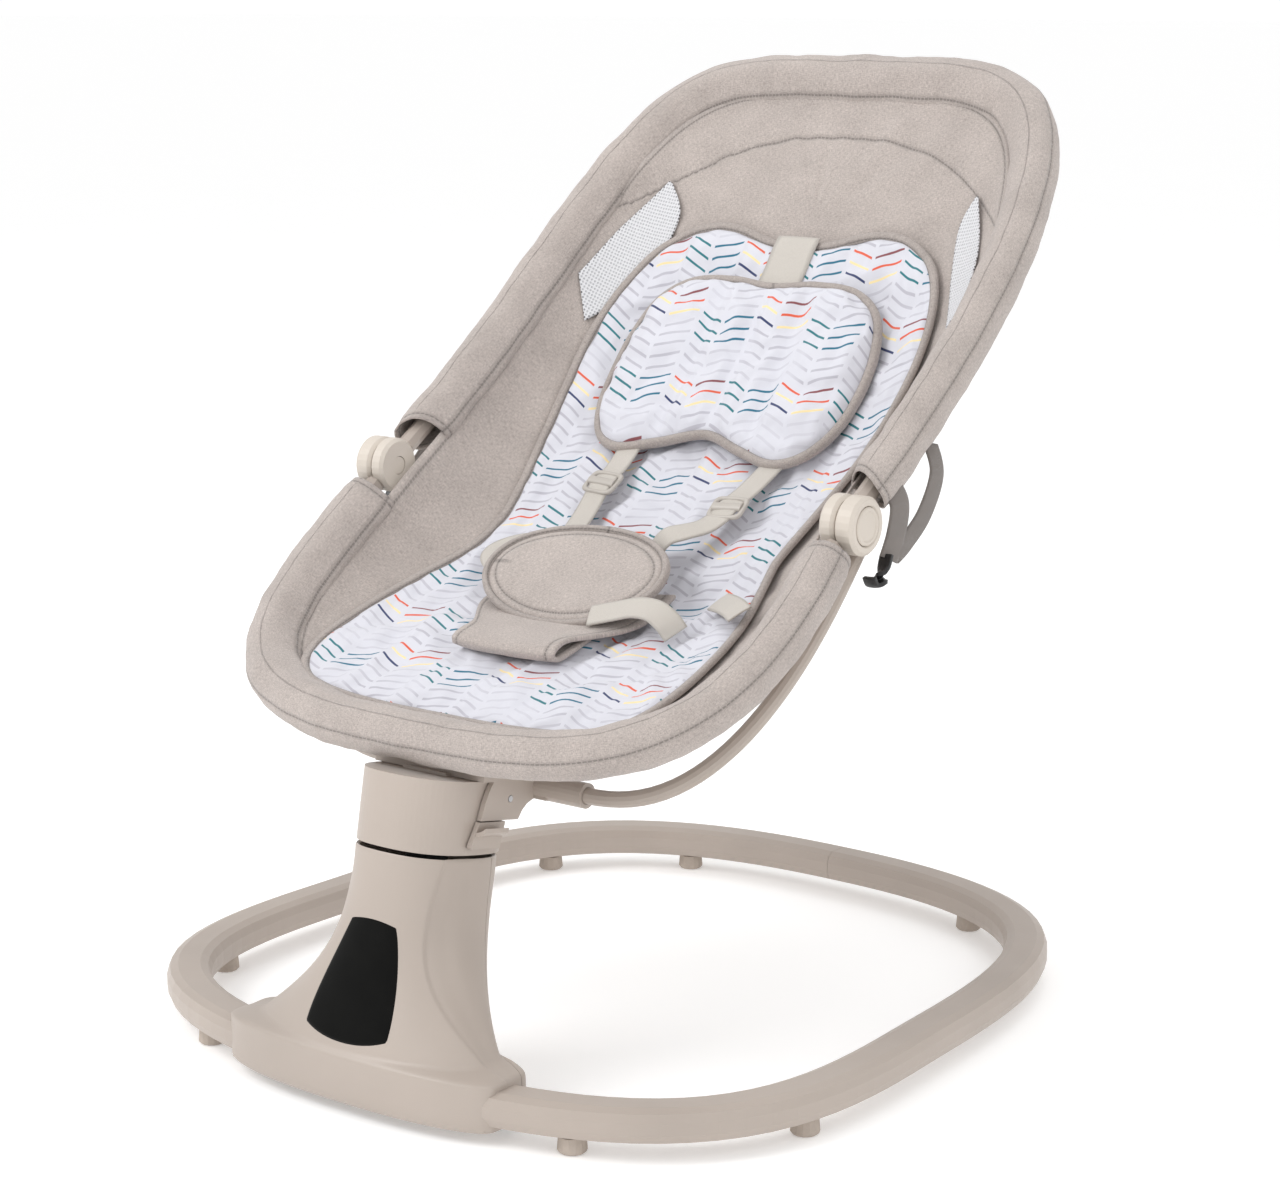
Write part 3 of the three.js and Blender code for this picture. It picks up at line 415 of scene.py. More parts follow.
def metal(name, color, roughness):
    material, tree, shader = nodes_of(name)
    lines = grain(tree, object_place(tree, (400, 400, 60)), 1.0, 3.0)
    deep = tuple(c * 0.8 for c in color)
    tree.links.new(ramp(tree, lines, [(0.3, deep), (0.7, color)]), shader.inputs["Base Color"])
    rough = node(tree, "ShaderNodeMapRange",
                 {"Value": lines, "To Min": roughness - 0.08, "To Max": roughness + 0.1}).outputs[0]
    tree.links.new(rough, shader.inputs["Roughness"])
    tree.links.new(bump(tree, lines, 0.3, 0.00005), shader.inputs["Normal"])
    shader.inputs["Metallic"].default_value = 1.0
    return material


def weave_height(tree, pitch, offset=0.0):
    """A plain weave from two crossed waves, in the pattern map's metres."""
    split = node(tree, "ShaderNodeSeparateXYZ", {"Vector": uv_place(tree)})
    turn = 2 * math.pi / pitch
    across = math_node(tree, "SINE", math_node(tree, "MULTIPLY", split.outputs[0], turn))
    along = math_node(tree, "SINE", math_node(tree, "MULTIPLY", split.outputs[1], turn))
    crossed = math_node(tree, "MULTIPLY", across, along)
    return math_node(tree, "ADD", crossed, offset)


GROOVE_HALF, THREAD_HALF, STITCH_LENGTH = 0.0024, 0.0006, 0.0036


def seam_line(tree, key):
    """Masks read from one line of seam marks: the groove (its dent, and where painted shade goes), its
    stitches and the pucker beside it.
    """
    marks = node(tree, "ShaderNodeAttribute", attribute_name=key).outputs["Vector"]
    split = node(tree, "ShaderNodeSeparateXYZ", {"Vector": marks})
    distance, run = split.outputs[0], split.outputs[1]
    size = math_node(tree, "ABSOLUTE", distance)
    groove_and_shade = node(tree, "ShaderNodeMapRange",
                  {"Value": size, "From Min": 0.0, "From Max": GROOVE_HALF, "To Min": 1.0, "To Max": 0.0},
                  ).outputs[0]
    line = math_node(tree, "LESS_THAN", size, THREAD_HALF)
    phase = math_node(tree, "FRACT", math_node(tree, "DIVIDE", run, STITCH_LENGTH))
    stitch = math_node(tree, "MULTIPLY", line, math_node(tree, "LESS_THAN", phase, 0.74))
    near = node(tree, "ShaderNodeMapRange",
                {"Value": size, "From Min": 0.0, "From Max": 0.018, "To Min": 1.0, "To Max": 0.0}).outputs[0]
    wobble = node(tree, "ShaderNodeTexNoise", {"W": math_node(tree, "MULTIPLY", run, 110.0), "Scale": 1.0},
                  noise_dimensions="1D").outputs["Fac"]
    pucker = math_node(tree, "MULTIPLY", math_node(tree, "MULTIPLY", near, near), wobble)
    return groove_and_shade, stitch, pucker


def seam_nodes(tree):
    """The masks of both seam lines together."""
    first = seam_line(tree, SEAM_LINES[0])
    second = seam_line(tree, SEAM_LINES[1])
    return [math_node(tree, "MAXIMUM", a, b) for a, b in zip(first, second)]


def melange(name, color, seams=True, fold=1.0):
    """Heathered woven polyester: slubs of lighter and darker yarn, soft folds and stitched seams, with
    painted shade darkening the seam grooves.
    """
    material, tree, shader = nodes_of(name)
    slub = grain(tree, uv_place(tree, (1.0, 0.22, 1)), 1500.0, 4.0, 0.7)
    cross = grain(tree, uv_place(tree, (0.22, 1.0, 1)), 1500.0, 3.0, 0.7)
    cloud = grain(tree, object_place(tree), 26.0, 4.0, 0.6)
    yarn = math_node(tree, "MULTIPLY_ADD", cross, 0.5, math_node(tree, "MULTIPLY", slub, 0.5))
    deep = tuple(c * 0.74 for c in color)
    pale = tuple(min(c * 1.26, 1.0) for c in color)
    tint = ramp(tree, yarn, [(0.38, deep), (0.5, color), (0.60, pale)])
    shade = ramp(tree, cloud, [(0.3, (0.90, 0.89, 0.89)), (0.7, (1.06, 1.05, 1.05))])
    tint = mix(tree, 1.0, tint, shade, "MULTIPLY")
    height = math_node(tree, "MULTIPLY_ADD", weave_height(tree, 0.0009), 0.35, yarn)
    folds = grain(tree, object_place(tree, (1.0, 0.55, 0.55)), 17.0, 2.0, 0.5)
    normal = bump(tree, folds, 0.35 * fold, 0.010)
    normal = bump(tree, height, 0.55, 0.0004, normal)
    if seams:
        groove_and_shade, stitch, pucker = seam_nodes(tree)
        # painted shade in the seam groove: the cloth colour is darkened there towards 0.45 of itself
        tint = mix(tree, math_node(tree, "MULTIPLY", groove_and_shade, 0.35), tint, tuple(c * 0.45 for c in color))
        tint = mix(tree, math_node(tree, "MULTIPLY", stitch, 0.85), tint, tuple(c * 0.52 for c in color))
        normal = bump(tree, pucker, 0.7, 0.0030, normal)
        sunk = math_node(tree, "SUBTRACT", math_node(tree, "MULTIPLY", stitch, 0.7), groove_and_shade)
        normal = bump(tree, sunk, 0.9, 0.0010, normal)
    tree.links.new(tint, shader.inputs["Base Color"])
    tree.links.new(normal, shader.inputs["Normal"])
    shader.inputs["Roughness"].default_value = 0.88
    shader.inputs["Sheen Weight"].default_value = 0.25
    shader.inputs["Sheen Roughness"].default_value = 0.5
    shader.inputs["Specular IOR Level"].default_value = 0.2
    return material


PRINT_SLOPE = 0.46
PRINT_WHITE = (0.68, 0.68, 0.735)
PRINT_GREY = (0.50, 0.49, 0.545)
TEAL = (0.030, 0.19, 0.22)
BLUE_TEAL = (0.035, 0.17, 0.26)
NAVY = (0.045, 0.06, 0.15)
CORAL = (0.75, 0.13, 0.07)
YELLOW = (0.90, 0.74, 0.40)
MAROON = (0.26, 0.09, 0.10)


def printed_cotton(name, column, pitch, slope):
    """White cotton with a herringbone of short strokes: pale grey, with teal and warm groups of three."""
    material, tree, shader = nodes_of(name)
    wobble = node(tree, "ShaderNodeTexNoise", {"Vector": uv_place(tree), "Scale": 30.0, "Detail": 0.0})
    shifted = node(tree, "ShaderNodeVectorMath",
                   {0: wobble.outputs["Color"], 1: (0.5, 0.5, 0.5)}, operation="SUBTRACT").outputs[0]
    shifted = node(tree, "ShaderNodeVectorMath", {0: shifted, "Scale": 0.0003}, operation="SCALE").outputs[0]
    place = node(tree, "ShaderNodeVectorMath", {0: uv_place(tree), 1: shifted}, operation="ADD").outputs[0]
    split = node(tree, "ShaderNodeSeparateXYZ", {"Vector": place})
    across = math_node(tree, "DIVIDE", split.outputs[0], column)
    number = math_node(tree, "FLOOR", across)
    inside = math_node(tree, "SUBTRACT", math_node(tree, "FRACT", across), 0.5)
    odd = math_node(tree, "FLOORED_MODULO", number, 2.0)
    way = math_node(tree, "MULTIPLY_ADD", odd, 2.0, -1.0)
    pair = math_node(tree, "FLOOR", math_node(tree, "DIVIDE", number, 2.0))
    odd_pair = math_node(tree, "FLOORED_MODULO", pair, 2.0)
    lean = math_node(tree, "MULTIPLY", math_node(tree, "MULTIPLY", inside, way), column * slope)
    level = math_node(tree, "SUBTRACT", split.outputs[1], lean)
    row = math_node(tree, "DIVIDE", level, pitch)
    step = math_node(tree, "FRACT", row)
    slot_number = math_node(tree, "FLOOR", row)
    shifted_slot = math_node(tree, "MULTIPLY_ADD", odd_pair, -6.0, slot_number)
    turn = math_node(tree, "FLOORED_MODULO", shifted_slot, 14.0)
    offset = math_node(tree, "ABSOLUTE", math_node(tree, "SUBTRACT", step, 0.5))
    reach = math_node(tree, "LESS_THAN", math_node(tree, "ABSOLUTE", inside), 0.43)
    teal = math_node(tree, "LESS_THAN", turn, 2.5)
    from_warm = math_node(tree, "ABSOLUTE", math_node(tree, "SUBTRACT", turn, 9.0))
    warm = math_node(tree, "LESS_THAN", from_warm, 1.5)
    accent = math_node(tree, "MAXIMUM", teal, warm)
    thick = math_node(tree, "MULTIPLY_ADD", accent, -0.024, 0.122)
    edge = math_node(tree, "SUBTRACT", thick, offset)
    ink = node(tree, "ShaderNodeMapRange",
               {"Value": edge, "From Min": -0.02, "From Max": 0.02, "To Min": 0.0, "To Max": 1.0}).outputs[0]
    ink = math_node(tree, "MULTIPLY", ink, reach)
    blank = grain(tree, uv_place(tree), 14.0, 1.0)
    faint = node(tree, "ShaderNodeMapRange", {"Value": blank, "From Min": 0.42, "From Max": 0.58,
                                              "To Min": 0.35, "To Max": 1.0}).outputs[0]
    grey = mix(tree, faint, PRINT_WHITE, PRINT_GREY)
    teal_tint = mix(tree, odd, TEAL, BLUE_TEAL)
    last = math_node(tree, "LESS_THAN", turn, 8.5)
    first = math_node(tree, "GREATER_THAN", turn, 9.5)
    warm_low = mix(tree, odd, NAVY, YELLOW)
    warm_mid = mix(tree, odd, YELLOW, CORAL)
    warm_high = mix(tree, odd, CORAL, MAROON)
    warm_tint = mix(tree, first, mix(tree, last, warm_mid, warm_low), warm_high)
    tint = mix(tree, teal, grey, teal_tint)
    tint = mix(tree, warm, tint, warm_tint)
    tint = mix(tree, ink, PRINT_WHITE, tint)
    tree.links.new(tint, shader.inputs["Base Color"])
    folds = grain(tree, uv_place(tree, (1, 0.6, 1)), 34.0, 2.0)
    normal = bump(tree, folds, 0.5, 0.006)
    normal = bump(tree, weave_height(tree, 0.0007), 0.4, 0.0002, normal)
    tree.links.new(normal, shader.inputs["Normal"])
    shader.inputs["Roughness"].default_value = 0.85
    shader.inputs["Sheen Weight"].default_value = 0.15
    shader.inputs["Specular IOR Level"].default_value = 0.2
    return material


def webbing_cloth(name, color):
    """Ribbed narrow webbing with a woven edge."""
    material, tree, shader = nodes_of(name)
    split = node(tree, "ShaderNodeSeparateXYZ", {"Vector": uv_place(tree)})
    rib = math_node(tree, "SINE", math_node(tree, "MULTIPLY", split.outputs[1], 2 * math.pi / 0.0011))
    yarn = grain(tree, uv_place(tree, (1, 0.3, 1)), 1300.0, 3.0)
    deep = tuple(c * 0.82 for c in color)
    pale = tuple(min(c * 1.12, 1) for c in color)
    tint = ramp(tree, yarn, [(0.35, deep), (0.65, pale)])
    edge = math_node(tree, "ABSOLUTE", math_node(tree, "SUBTRACT", split.outputs[0], 0.5))
    selvedge = node(tree, "ShaderNodeMapRange",
                    {"Value": edge, "From Min": 0.40, "From Max": 0.47, "To Min": 0.0, "To Max": 0.5},
                    ).outputs[0]
    tint = mix(tree, selvedge, tint, deep)
    tree.links.new(tint, shader.inputs["Base Color"])
    height = math_node(tree, "MULTIPLY_ADD", rib, 0.5, yarn)
    tree.links.new(bump(tree, height, 0.6, 0.0003), shader.inputs["Normal"])
    shader.inputs["Roughness"].default_value = 0.62
    shader.inputs["Sheen Weight"].default_value = 0.2
    return material


def air_mesh(name):
    """White spacer mesh: staggered round holes darkened with painted shade, with near-black painted shade in
    the holes along its sewn edge.
    """
    material, tree, shader = nodes_of(name)
    cells = node(tree, "ShaderNodeTexVoronoi", {"Vector": uv_place(tree, (1, 0.8, 1)), "Scale": 420.0,
                                                "Randomness": 0.12}).outputs["Distance"]
    hole_and_shade = node(tree, "ShaderNodeMapRange",
                {"Value": cells, "From Min": 0.20, "From Max": 0.34, "To Min": 1.0, "To Max": 0.0}).outputs[0]
    groove_and_shade = seam_nodes(tree)[0]
    # painted shade: each hole is darkened towards dark grey
    tint = mix(tree, math_node(tree, "MULTIPLY", hole_and_shade, 0.45), (0.68, 0.68, 0.70), (0.22, 0.22, 0.24))
    # painted shade: the holes inside the sewn edge's groove go near-black
    edge = math_node(tree, "MULTIPLY", groove_and_shade, hole_and_shade)
    tint = mix(tree, math_node(tree, "MULTIPLY", edge, 0.9), tint, (0.03, 0.03, 0.035))
    tree.links.new(tint, shader.inputs["Base Color"])
    tree.links.new(bump(tree, hole_and_shade, 0.8, -0.0008), shader.inputs["Normal"])
    shader.inputs["Roughness"].default_value = 0.7
    return material


def rubber(name, color):
    material, tree, shader = nodes_of(name)
    dust = grain(tree, object_place(tree), 120.0, 4.0)
    pale = tuple(min(c * 1.15, 1) for c in color)
    tree.links.new(ramp(tree, dust, [(0.35, color), (0.7, pale)]), shader.inputs["Base Color"])
    tree.links.new(bump(tree, grain(tree, object_place(tree), 900.0), 0.4, 0.0001), shader.inputs["Normal"])
    shader.inputs["Roughness"].default_value = 0.75
    return material


def floor_paint(name, color):
    material, tree, shader = nodes_of(name)
    soft = grain(tree, object_place(tree), 2.0, 2.0)
    tint = ramp(tree, soft, [(0.3, tuple(c * 0.995 for c in color)), (0.7, color)])
    tree.links.new(tint, shader.inputs["Base Color"])
    shader.inputs["Roughness"].default_value = 0.9
    shader.inputs["Specular IOR Level"].default_value = 0.1
    shader.inputs["Emission Color"].default_value = (1, 1, 1, 1)
    shader.inputs["Emission Strength"].default_value = 0.24
    return material


# ---- settings ----
class BouncerFabrics(bpy.types.PropertyGroup):
    cover_color: FloatVectorProperty(
        name="Cover", description="Colour of the heathered seat cover", subtype="COLOR",
        size=3, min=0, max=1, default=(0.455, 0.405, 0.375))
    strap_color: FloatVectorProperty(
        name="Webbing", description="Colour of the harness webbing", subtype="COLOR",
        size=3, min=0, max=1, default=(0.575, 0.535, 0.485))
    sleeve_radius: FloatProperty(
        name="Sleeve radius", description="Radius of the padded sleeve round the seat tube",
        subtype="DISTANCE", unit="LENGTH", default=0.0175, min=0.010, max=0.020)
    liner_thickness: FloatProperty(
        name="Liner thickness", description="Thickness of the padded liner before it swells",
        subtype="DISTANCE", unit="LENGTH", default=0.009, min=0.004, max=0.020)
    pillow_thickness: FloatProperty(
        name="Pillow thickness", description="Thickness of the head pillow before it swells",
        subtype="DISTANCE", unit="LENGTH", default=0.018, min=0.008, max=0.035)
    binding_width: FloatProperty(
        name="Binding width", description="Width of the tape bound round the liner and pillow",
        subtype="DISTANCE", unit="LENGTH", default=0.0075, min=0.004, max=0.012)
    print_column: FloatProperty(
        name="Print column", description="Width of one column of the herringbone print",
        subtype="DISTANCE", unit="LENGTH", default=0.0258, min=0.01, max=0.06)
    print_pitch: FloatProperty(
        name="Print pitch", description="Distance between two strokes of the print",
        subtype="DISTANCE", unit="LENGTH", default=0.0098, min=0.004, max=0.03)


class BouncerPlastics(bpy.types.PropertyGroup):
    shell_color: FloatVectorProperty(
        name="Shell", description="Colour of the ring, tower and tubes", subtype="COLOR",
        size=3, min=0, max=1, default=(0.43, 0.370, 0.325))
    hub_color: FloatVectorProperty(
        name="Hub", description="Colour of the recline hubs", subtype="COLOR",
        size=3, min=0, max=1, default=(0.60, 0.54, 0.475))
    webbing_width: FloatProperty(
        name="Webbing width", description="Width of the harness webbing",
        subtype="DISTANCE", unit="LENGTH", default=0.020, min=0.010, max=0.030)


class BouncerStage(bpy.types.PropertyGroup):
    key_power: FloatProperty(
        name="Key light", description="Power of the large soft light above the left",
        unit="POWER", default=36.0, min=0, max=500)
    sky: FloatProperty(
        name="Surround", description="Brightness of the white surround", default=0.80, min=0, max=3)
    floor_reach: IntProperty(
        name="Floor reach", description="Half width of the floor, in metres", default=60, min=2, max=200)


def fabrics():
    return bpy.context.scene.bouncer_fabrics


def plastics():
    return bpy.context.scene.bouncer_plastics


def cover_material():
    found = bpy.data.materials.get("cover_melange")
    return found or melange("cover_melange", fabrics().cover_color)


# ---- stage ----
CAMERA_LENS = 80.76
CAMERA_PLACE = (1.3016, -1.7097, 0.7672)
CAMERA_TURN = (math.radians(77.95), 0, math.radians(37.08))
HORIZON_GLOW = 1.02


class BOUNCER_OT_stage(bpy.types.Operator):
    """Set the pale floor, the soft studio light and the camera"""

    bl_idname = "bouncer.stage"
    bl_label = "Stage"

    def execute(self, context):
        settings = context.scene.bouncer_stage
        context.scene.view_settings.view_transform = "Standard"
        camera_data = bpy.data.cameras.new("camera")
        camera_data.lens = CAMERA_LENS
        camera_data.sensor_width = 36
        camera = bpy.data.objects.new("camera", camera_data)
        camera.location = CAMERA_PLACE
        camera.rotation_euler = CAMERA_TURN
        context.collection.objects.link(camera)
        context.scene.camera = camera
        world = bpy.data.worlds.new("surround")
        world.use_nodes = True
        background = world.node_tree.nodes["Background"]
        background.inputs[0].default_value = (1, 1, 1, 1)
        background.inputs[1].default_value = settings.sky
        sky = world.node_tree
        facing = node(sky, "ShaderNodeTexCoord").outputs["Generated"]
        height = node(sky, "ShaderNodeSeparateXYZ", {"Vector": facing}).outputs[2]
        glow = node(sky, "ShaderNodeMapRange", {"Value": height, "From Min": 0.0, "From Max": 0.35,
                                                "To Min": HORIZON_GLOW, "To Max": settings.sky}).outputs[0]
        sky.links.new(glow, background.inputs[1])
        context.scene.world = world
        bpy.ops.object.select_all(action="DESELECT")
        size = 2 * settings.floor_reach
        bpy.ops.mesh.primitive_plane_add(size=size, location=(0, 0, CAD_BOX[0][2] - 0.0005))
        floor = context.object
        floor.name = "floor"
        floor.data.materials.append(floor_paint("floor_white", (0.93, 0.93, 0.93)))
        lights = [
            ("key", (-1.3, -1.9, 2.3), settings.key_power, 1.6),
            ("fill", (2.2, -0.9, 1.5), settings.key_power * 0.2, 2.0),
            ("top", (0.2, 0.6, 2.6), settings.key_power * 0.35, 2.2),
        ]
        for name, place, power, side in lights:
            data = bpy.data.lights.new(name, "AREA")
            data.energy = power
            data.size = side
            light = bpy.data.objects.new(name, data)
            light.location = place
            light.rotation_euler = (Vector((0, 0, 0.3)) - light.location).to_track_quat("-Z", "Y").to_euler()
            context.collection.objects.link(light)
        return {"FINISHED"}


# ---- finishes of the moulded and turned pieces ----
FINISHES = {
    "shell": ("base_arm", "tower_front", "tower_rear_cover", "foot_cover", "swing_head", "seat_saddle",
              "release_lever", "seat_rail", "leg_tube", "back_tube"),
    "hub": ("hub_inner", "hub_outer", "hub_button"),
    "dark": ("power_inlet", "speaker", "swing_bush"),
    "panel": ("control_panel",),
    "steel": ("swing_spindle", "saddle_screw", "drive_motor", "base_spigot"),
    "gear": ("swing_gear", "motor_pinion"),
    "board": ("circuit_board",),
    "buckle": ("strap_adjuster",),
    "feet": ("foot_pad",),
}


class BOUNCER_OT_finishes(bpy.types.Operator):
    """Give every moulded, turned and bent piece its finish"""

    bl_idname = "bouncer.finishes"
    bl_label = "Finishes"

    def execute(self, context):
        shell = plastics().shell_color
        made = {
            "shell": plastic("shell_plastic", shell, 0.40),
            "hub": plastic("hub_plastic", plastics().hub_color, 0.42),
            "dark": plastic("dark_plastic", (0.03, 0.03, 0.032), 0.5),
            "panel": gloss_panel("panel_gloss"),
            "steel": metal("turned_steel", (0.55, 0.55, 0.56), 0.35),
            "gear": plastic("gear_plastic", (0.75, 0.73, 0.68), 0.45),
            "board": plastic("board_green", (0.02, 0.10, 0.05), 0.5),
            "buckle": plastic("buckle_plastic", (0.50, 0.47, 0.43), 0.32),
            "feet": rubber("foot_rubber", (0.42, 0.36, 0.31)),
        }
        for name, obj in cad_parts.items():
            for finish, starts in FINISHES.items():
                if name.startswith(starts):
                    obj.data.materials.clear()
                    obj.data.materials.append(made[finish])
        return {"FINISHED"}


# ---- the tower's shells ----
TOWER_TOP = (0.0, -0.206 + HUB_Y, 0.170)
FOOT_TOP = 0.0425
FOOT_BOTTOM = 0.0085
FOOT_HALF = (0.124, 0.0255)
SWING_TILT = math.radians(11)
COVER_LINE = 0.42
CREASE_LOW, CREASE_LEAN, CREASE_BULGE = 11.0, 20.0, 22.4


def ring_bend(x):
    """How far the ring's front curves back at x, from its middle."""
    share = min(abs(x) / 0.283, 0.98)
    return 0.280 * (1 - (1 - share**2.49) ** (1 / 2.49))


def tower_section(z):
    """Half widths, centre and squareness of the tower's outline at height z."""
    k = min(max((TOWER_TOP[2] - z) / (TOWER_TOP[2] - 0.0365), 0.0), 1.0)
    half_x = 0.046 + 0.072 * k**2.4
    half_y = 0.049 - 0.019 * k**3
    middle = TOWER_TOP[1] - 0.070 * k**1.6
    power = 2.5
    foot = smooth(-z, -0.047, -0.0415)
    half_x += (FOOT_HALF[0] - half_x) * foot
    half_y += (FOOT_HALF[1] - half_y) * foot
    middle += (-0.280 + HUB_Y - middle) * foot
    power += 5.0 * foot
    return half_x, half_y, middle, power, k


def crease_angle(z):
    """The angle from the tower's front, in degrees, at which its crease runs at height z."""
    share = min(max((z - FOOT_TOP) / (TOWER_TOP[2] - FOOT_TOP), 0.0), 1.0)
    return CREASE_LOW + CREASE_LEAN * share + CREASE_BULGE * math.sin(math.pi * share)


def tower_point(angle, z, grow=0.0):
    """A point on the tower's outside at an angle from the right, in radians, and height z."""
    half_x, half_y, middle, power, k = tower_section(z)
    c, w = math.cos(angle), math.sin(angle)
    reach = 1 / (abs(c) ** power + abs(w) ** power) ** (1 / power)
    away = math.degrees(math.asin(min(abs(w), 1.0))) if w < 0 else -math.degrees(math.asin(min(w, 1.0)))
    past = away - crease_angle(z)
    fade = smooth(z, 0.036, 0.052)
    front = smooth(past, -1.6, 1.6)
    hollow = math.exp(-(((past + 17) / 13) ** 2)) * (1 if w < 0 or past > -60 else 0)
    out = grow + fade * (0.0017 * front - 0.0022 * hollow * (1 - front)) - 0.0017 * fade
    x = (half_x + out) * c * reach
    dy = (half_y + out) * w * reach
    y = middle + dy + ring_bend(x) * smooth(k, 0.25, 0.95)
    rise = smooth(z, 0.120, 0.170)
    return Vector((x, y, z - (y - TOWER_TOP[1]) * math.tan(SWING_TILT) * rise))


def tower_shell(name, first, last, across):
    """One shell of the tower between two angles, from the swing gap to the underside of the foot."""
    heights = [0.1700 - 0.0012, 0.1688 - 0.0014]
    heights += [0.1655 - i * (0.1655 - 0.050) / 46 for i in range(47)]
    heights += [0.0488, 0.0474, 0.0460, 0.0448, 0.0438, 0.0430, 0.0425, 0.0412]
    heights += [0.0395, 0.034, 0.026, 0.018, 0.0125, 0.0100, FOOT_BOTTOM]
    count = len(heights) - 1

    def place(u, v):
        row = round(v * count)
        z = heights[row]
        inset = 0.0008 if row == 0 else 0.0
        under = 0.0022 * (1 - smooth(z, FOOT_BOTTOM, 0.0125)) ** 2
        return tower_point(first + (last - first) * u, z, -inset - under)

    obj = cloth_grid(name, across, count, place, lambda u, v: (u, v))
    return obj


class BOUNCER_OT_tower(bpy.types.Operator):
    """Make the tower's front shell, rear cover and gloss touch panel"""

    bl_idname = "bouncer.tower"
    bl_label = "Tower"

    def execute(self, context):
        shell = bpy.data.materials["shell_plastic"]
        side = math.asin(COVER_LINE)
        gap = 0.006
        for name, solid, first, last, across in (
            ("tower_front_shell", "tower_front", -math.pi - side + gap, side - gap, 150),
            ("tower_rear_shell", "tower_rear_cover", side + gap, math.pi - side - gap, 70),
        ):
            obj = tower_shell(name, first, last, across)
            outward = obj.data.polygons[across * 20 + across // 2]
            if outward.normal.dot(outward.center - Vector((0, TOWER_TOP[1], outward.center.z))) < 0:
                obj.data.flip_normals()
            thicken(obj, 0.0026)
            choose(obj)
            bpy.ops.object.shade_smooth_by_angle(angle=math.radians(50))
            dress(obj, shell)
            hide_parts(solid)
            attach(obj, "stand")

        def face(u, v):
            across = 2 * u - 1
            level = 2 * v - 1
            x_share = across * math.sqrt(1 - level * level / 2)
            z_share = level * math.sqrt(1 - across * across / 2)
            blend = 0.66
            x_share = across * blend + x_share * (1 - blend)
            z_share = level * blend + z_share * (1 - blend)
            z = 0.092 + 0.042 * z_share
            half = 0.0440 + (0.0220 - 0.0440) * (z - 0.050) / 0.084
            return half * x_share, z + 0.0035 * (x_share**2) * (1 - v)

        def place(u, v):
            x, z = face(u, v)
            half_x, half_y, middle, power, k = tower_section(z)
            dy = half_y * (1 - (abs(x) / half_x) ** power) ** (1 / power)
            rim = min(u, 1 - u, v, 1 - v)
            proud = 0.0009 * smooth(rim, 0.0, 0.03) - 0.0004
            return Vector((x, middle - dy - proud + ring_bend(x) * smooth(k, 0.25, 0.95), z))

        panel = cloth_grid("touch_panel_face", 40, 60, place, face)
        thicken(panel, 0.0012)
        dress(panel, bpy.data.materials["panel_gloss"])
        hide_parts("control_panel")
        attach(panel, "stand")
        return {"FINISHED"}


# ---- the cover ----
def head_seam(x):
    """Where the head panel's seam lies along the back, at x across."""
    reach = min(abs(x) / 0.154, 1.2)
    return 0.404 - 0.056 * reach**2.6


def fold(x, y, z, scale, stretch):
    return noise.noise(Vector((x * scale, y * scale * stretch, z * scale)))


def cover_seam_marks(x, s, edge):
    """Distance to the nearest stitched line of the sling, and the run along it."""
    head = ((s - head_seam(x)) * 0.9, x) if s > 0.25 else (-1.0, x)
    return (edge - 0.004, s + x), head


class BOUNCER_OT_sling(bpy.types.Operator):
    """Make the sling: the stitched sheet that hangs between the sleeves"""

    bl_idname = "bouncer.sling"
    bl_label = "Sling"

    def execute(self, context):
        back = loop_table(BACK, SLING_INSET - 0.001)
        leg = loop_table(LEG, SLING_INSET - 0.001)
        half_columns = 160
        share = round(half_columns * back[-1][0] / (back[-1][0] + leg[-1][0])) / half_columns

        def cut(u, v):
            if u <= share:
                x, s = at_length(back, back[-1][0] * u / share)
            else:
                x, s = at_length(leg, leg[-1][0] * (1 - u) / (1 - share))
            keep = 0.74 if s > 0 else 0.66
            depth = v**0.9
            return x * (1 - depth), s * (1 - (1 - keep) * depth), x, s

        def place(u, v):
            x, s, edge_x, edge_s = cut(u, v)
            inward = math.hypot(x - edge_x, s - edge_s)
            point = seat_point(x, s)
            wall = smooth(inward, 0.006, 0.03) * (1 - 0.6 * smooth(inward, 0.06, 0.12))
            ripple = fold(edge_x * 1.5 + edge_s * 1.5, inward * 0.22, 3.1, 30.0, 1.0)
            ripple *= 1 - smooth(v, 0.70, 0.97)
            billow = fold(x, s, 1.7, 12.0, 0.7)
            rise = wall * (0.0028 * ripple) + 0.0016 * billow * smooth(inward, 0.01, 0.05)
            if s > 0.25:
                over = s - head_seam(x)
                rise += 0.0014 * smooth(over, -0.002, 0.004) - 0.0012 * math.exp(-((over / 0.004) ** 2))
                rise += 0.0030 * smooth(over, 0.0, 0.02) * (1 - smooth(inward, 0.02, 0.05) * 0.2)
            rise += 0.003 * (1 - smooth(inward, 0.0, 0.012))
            return point + rise * NORMAL

        def chart(u, v):
            x, s, _, _ = cut(u, v)
            return (x, s)

        def marks(u, v):
            x, s, edge_x, edge_s = cut(u, v)
            return cover_seam_marks(x, s, math.hypot(x - edge_x, s - edge_s))

        sling = cloth_grid("cover_sling", 2 * half_columns, 52, place, chart, marks)
        weld(sling, 2e-5)
        thicken(sling, 0.0016)
        dress(sling, cover_material())
        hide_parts("sling_leg", "sling_hip", "sling_back")
        bend_with_seat(sling)
        return {"FINISHED"}


def tube_frame(run, rows):
    """The seat tube's centre at run along half of the loop, with its inward and upward directions."""
    x, s = at_length(rows, run)
    ahead = at_length(rows, run + 0.002)
    behind = at_length(rows, run - 0.002)

    def lay(pair):
        point = seat_line(pair[1])
        point.x = pair[0]
        return point

    centre = lay((x, s))
    tangent = (lay(ahead) - lay(behind)).normalized()
    inward = NORMAL.cross(tangent).normalized()
    middle = seat_line(s * 0.6)
    if inward.dot(middle - centre) < 0:
        inward = -inward
    up = tangent.cross(inward).normalized()
    if up.dot(NORMAL) < 0:
        up = -up
    return centre, inward, up


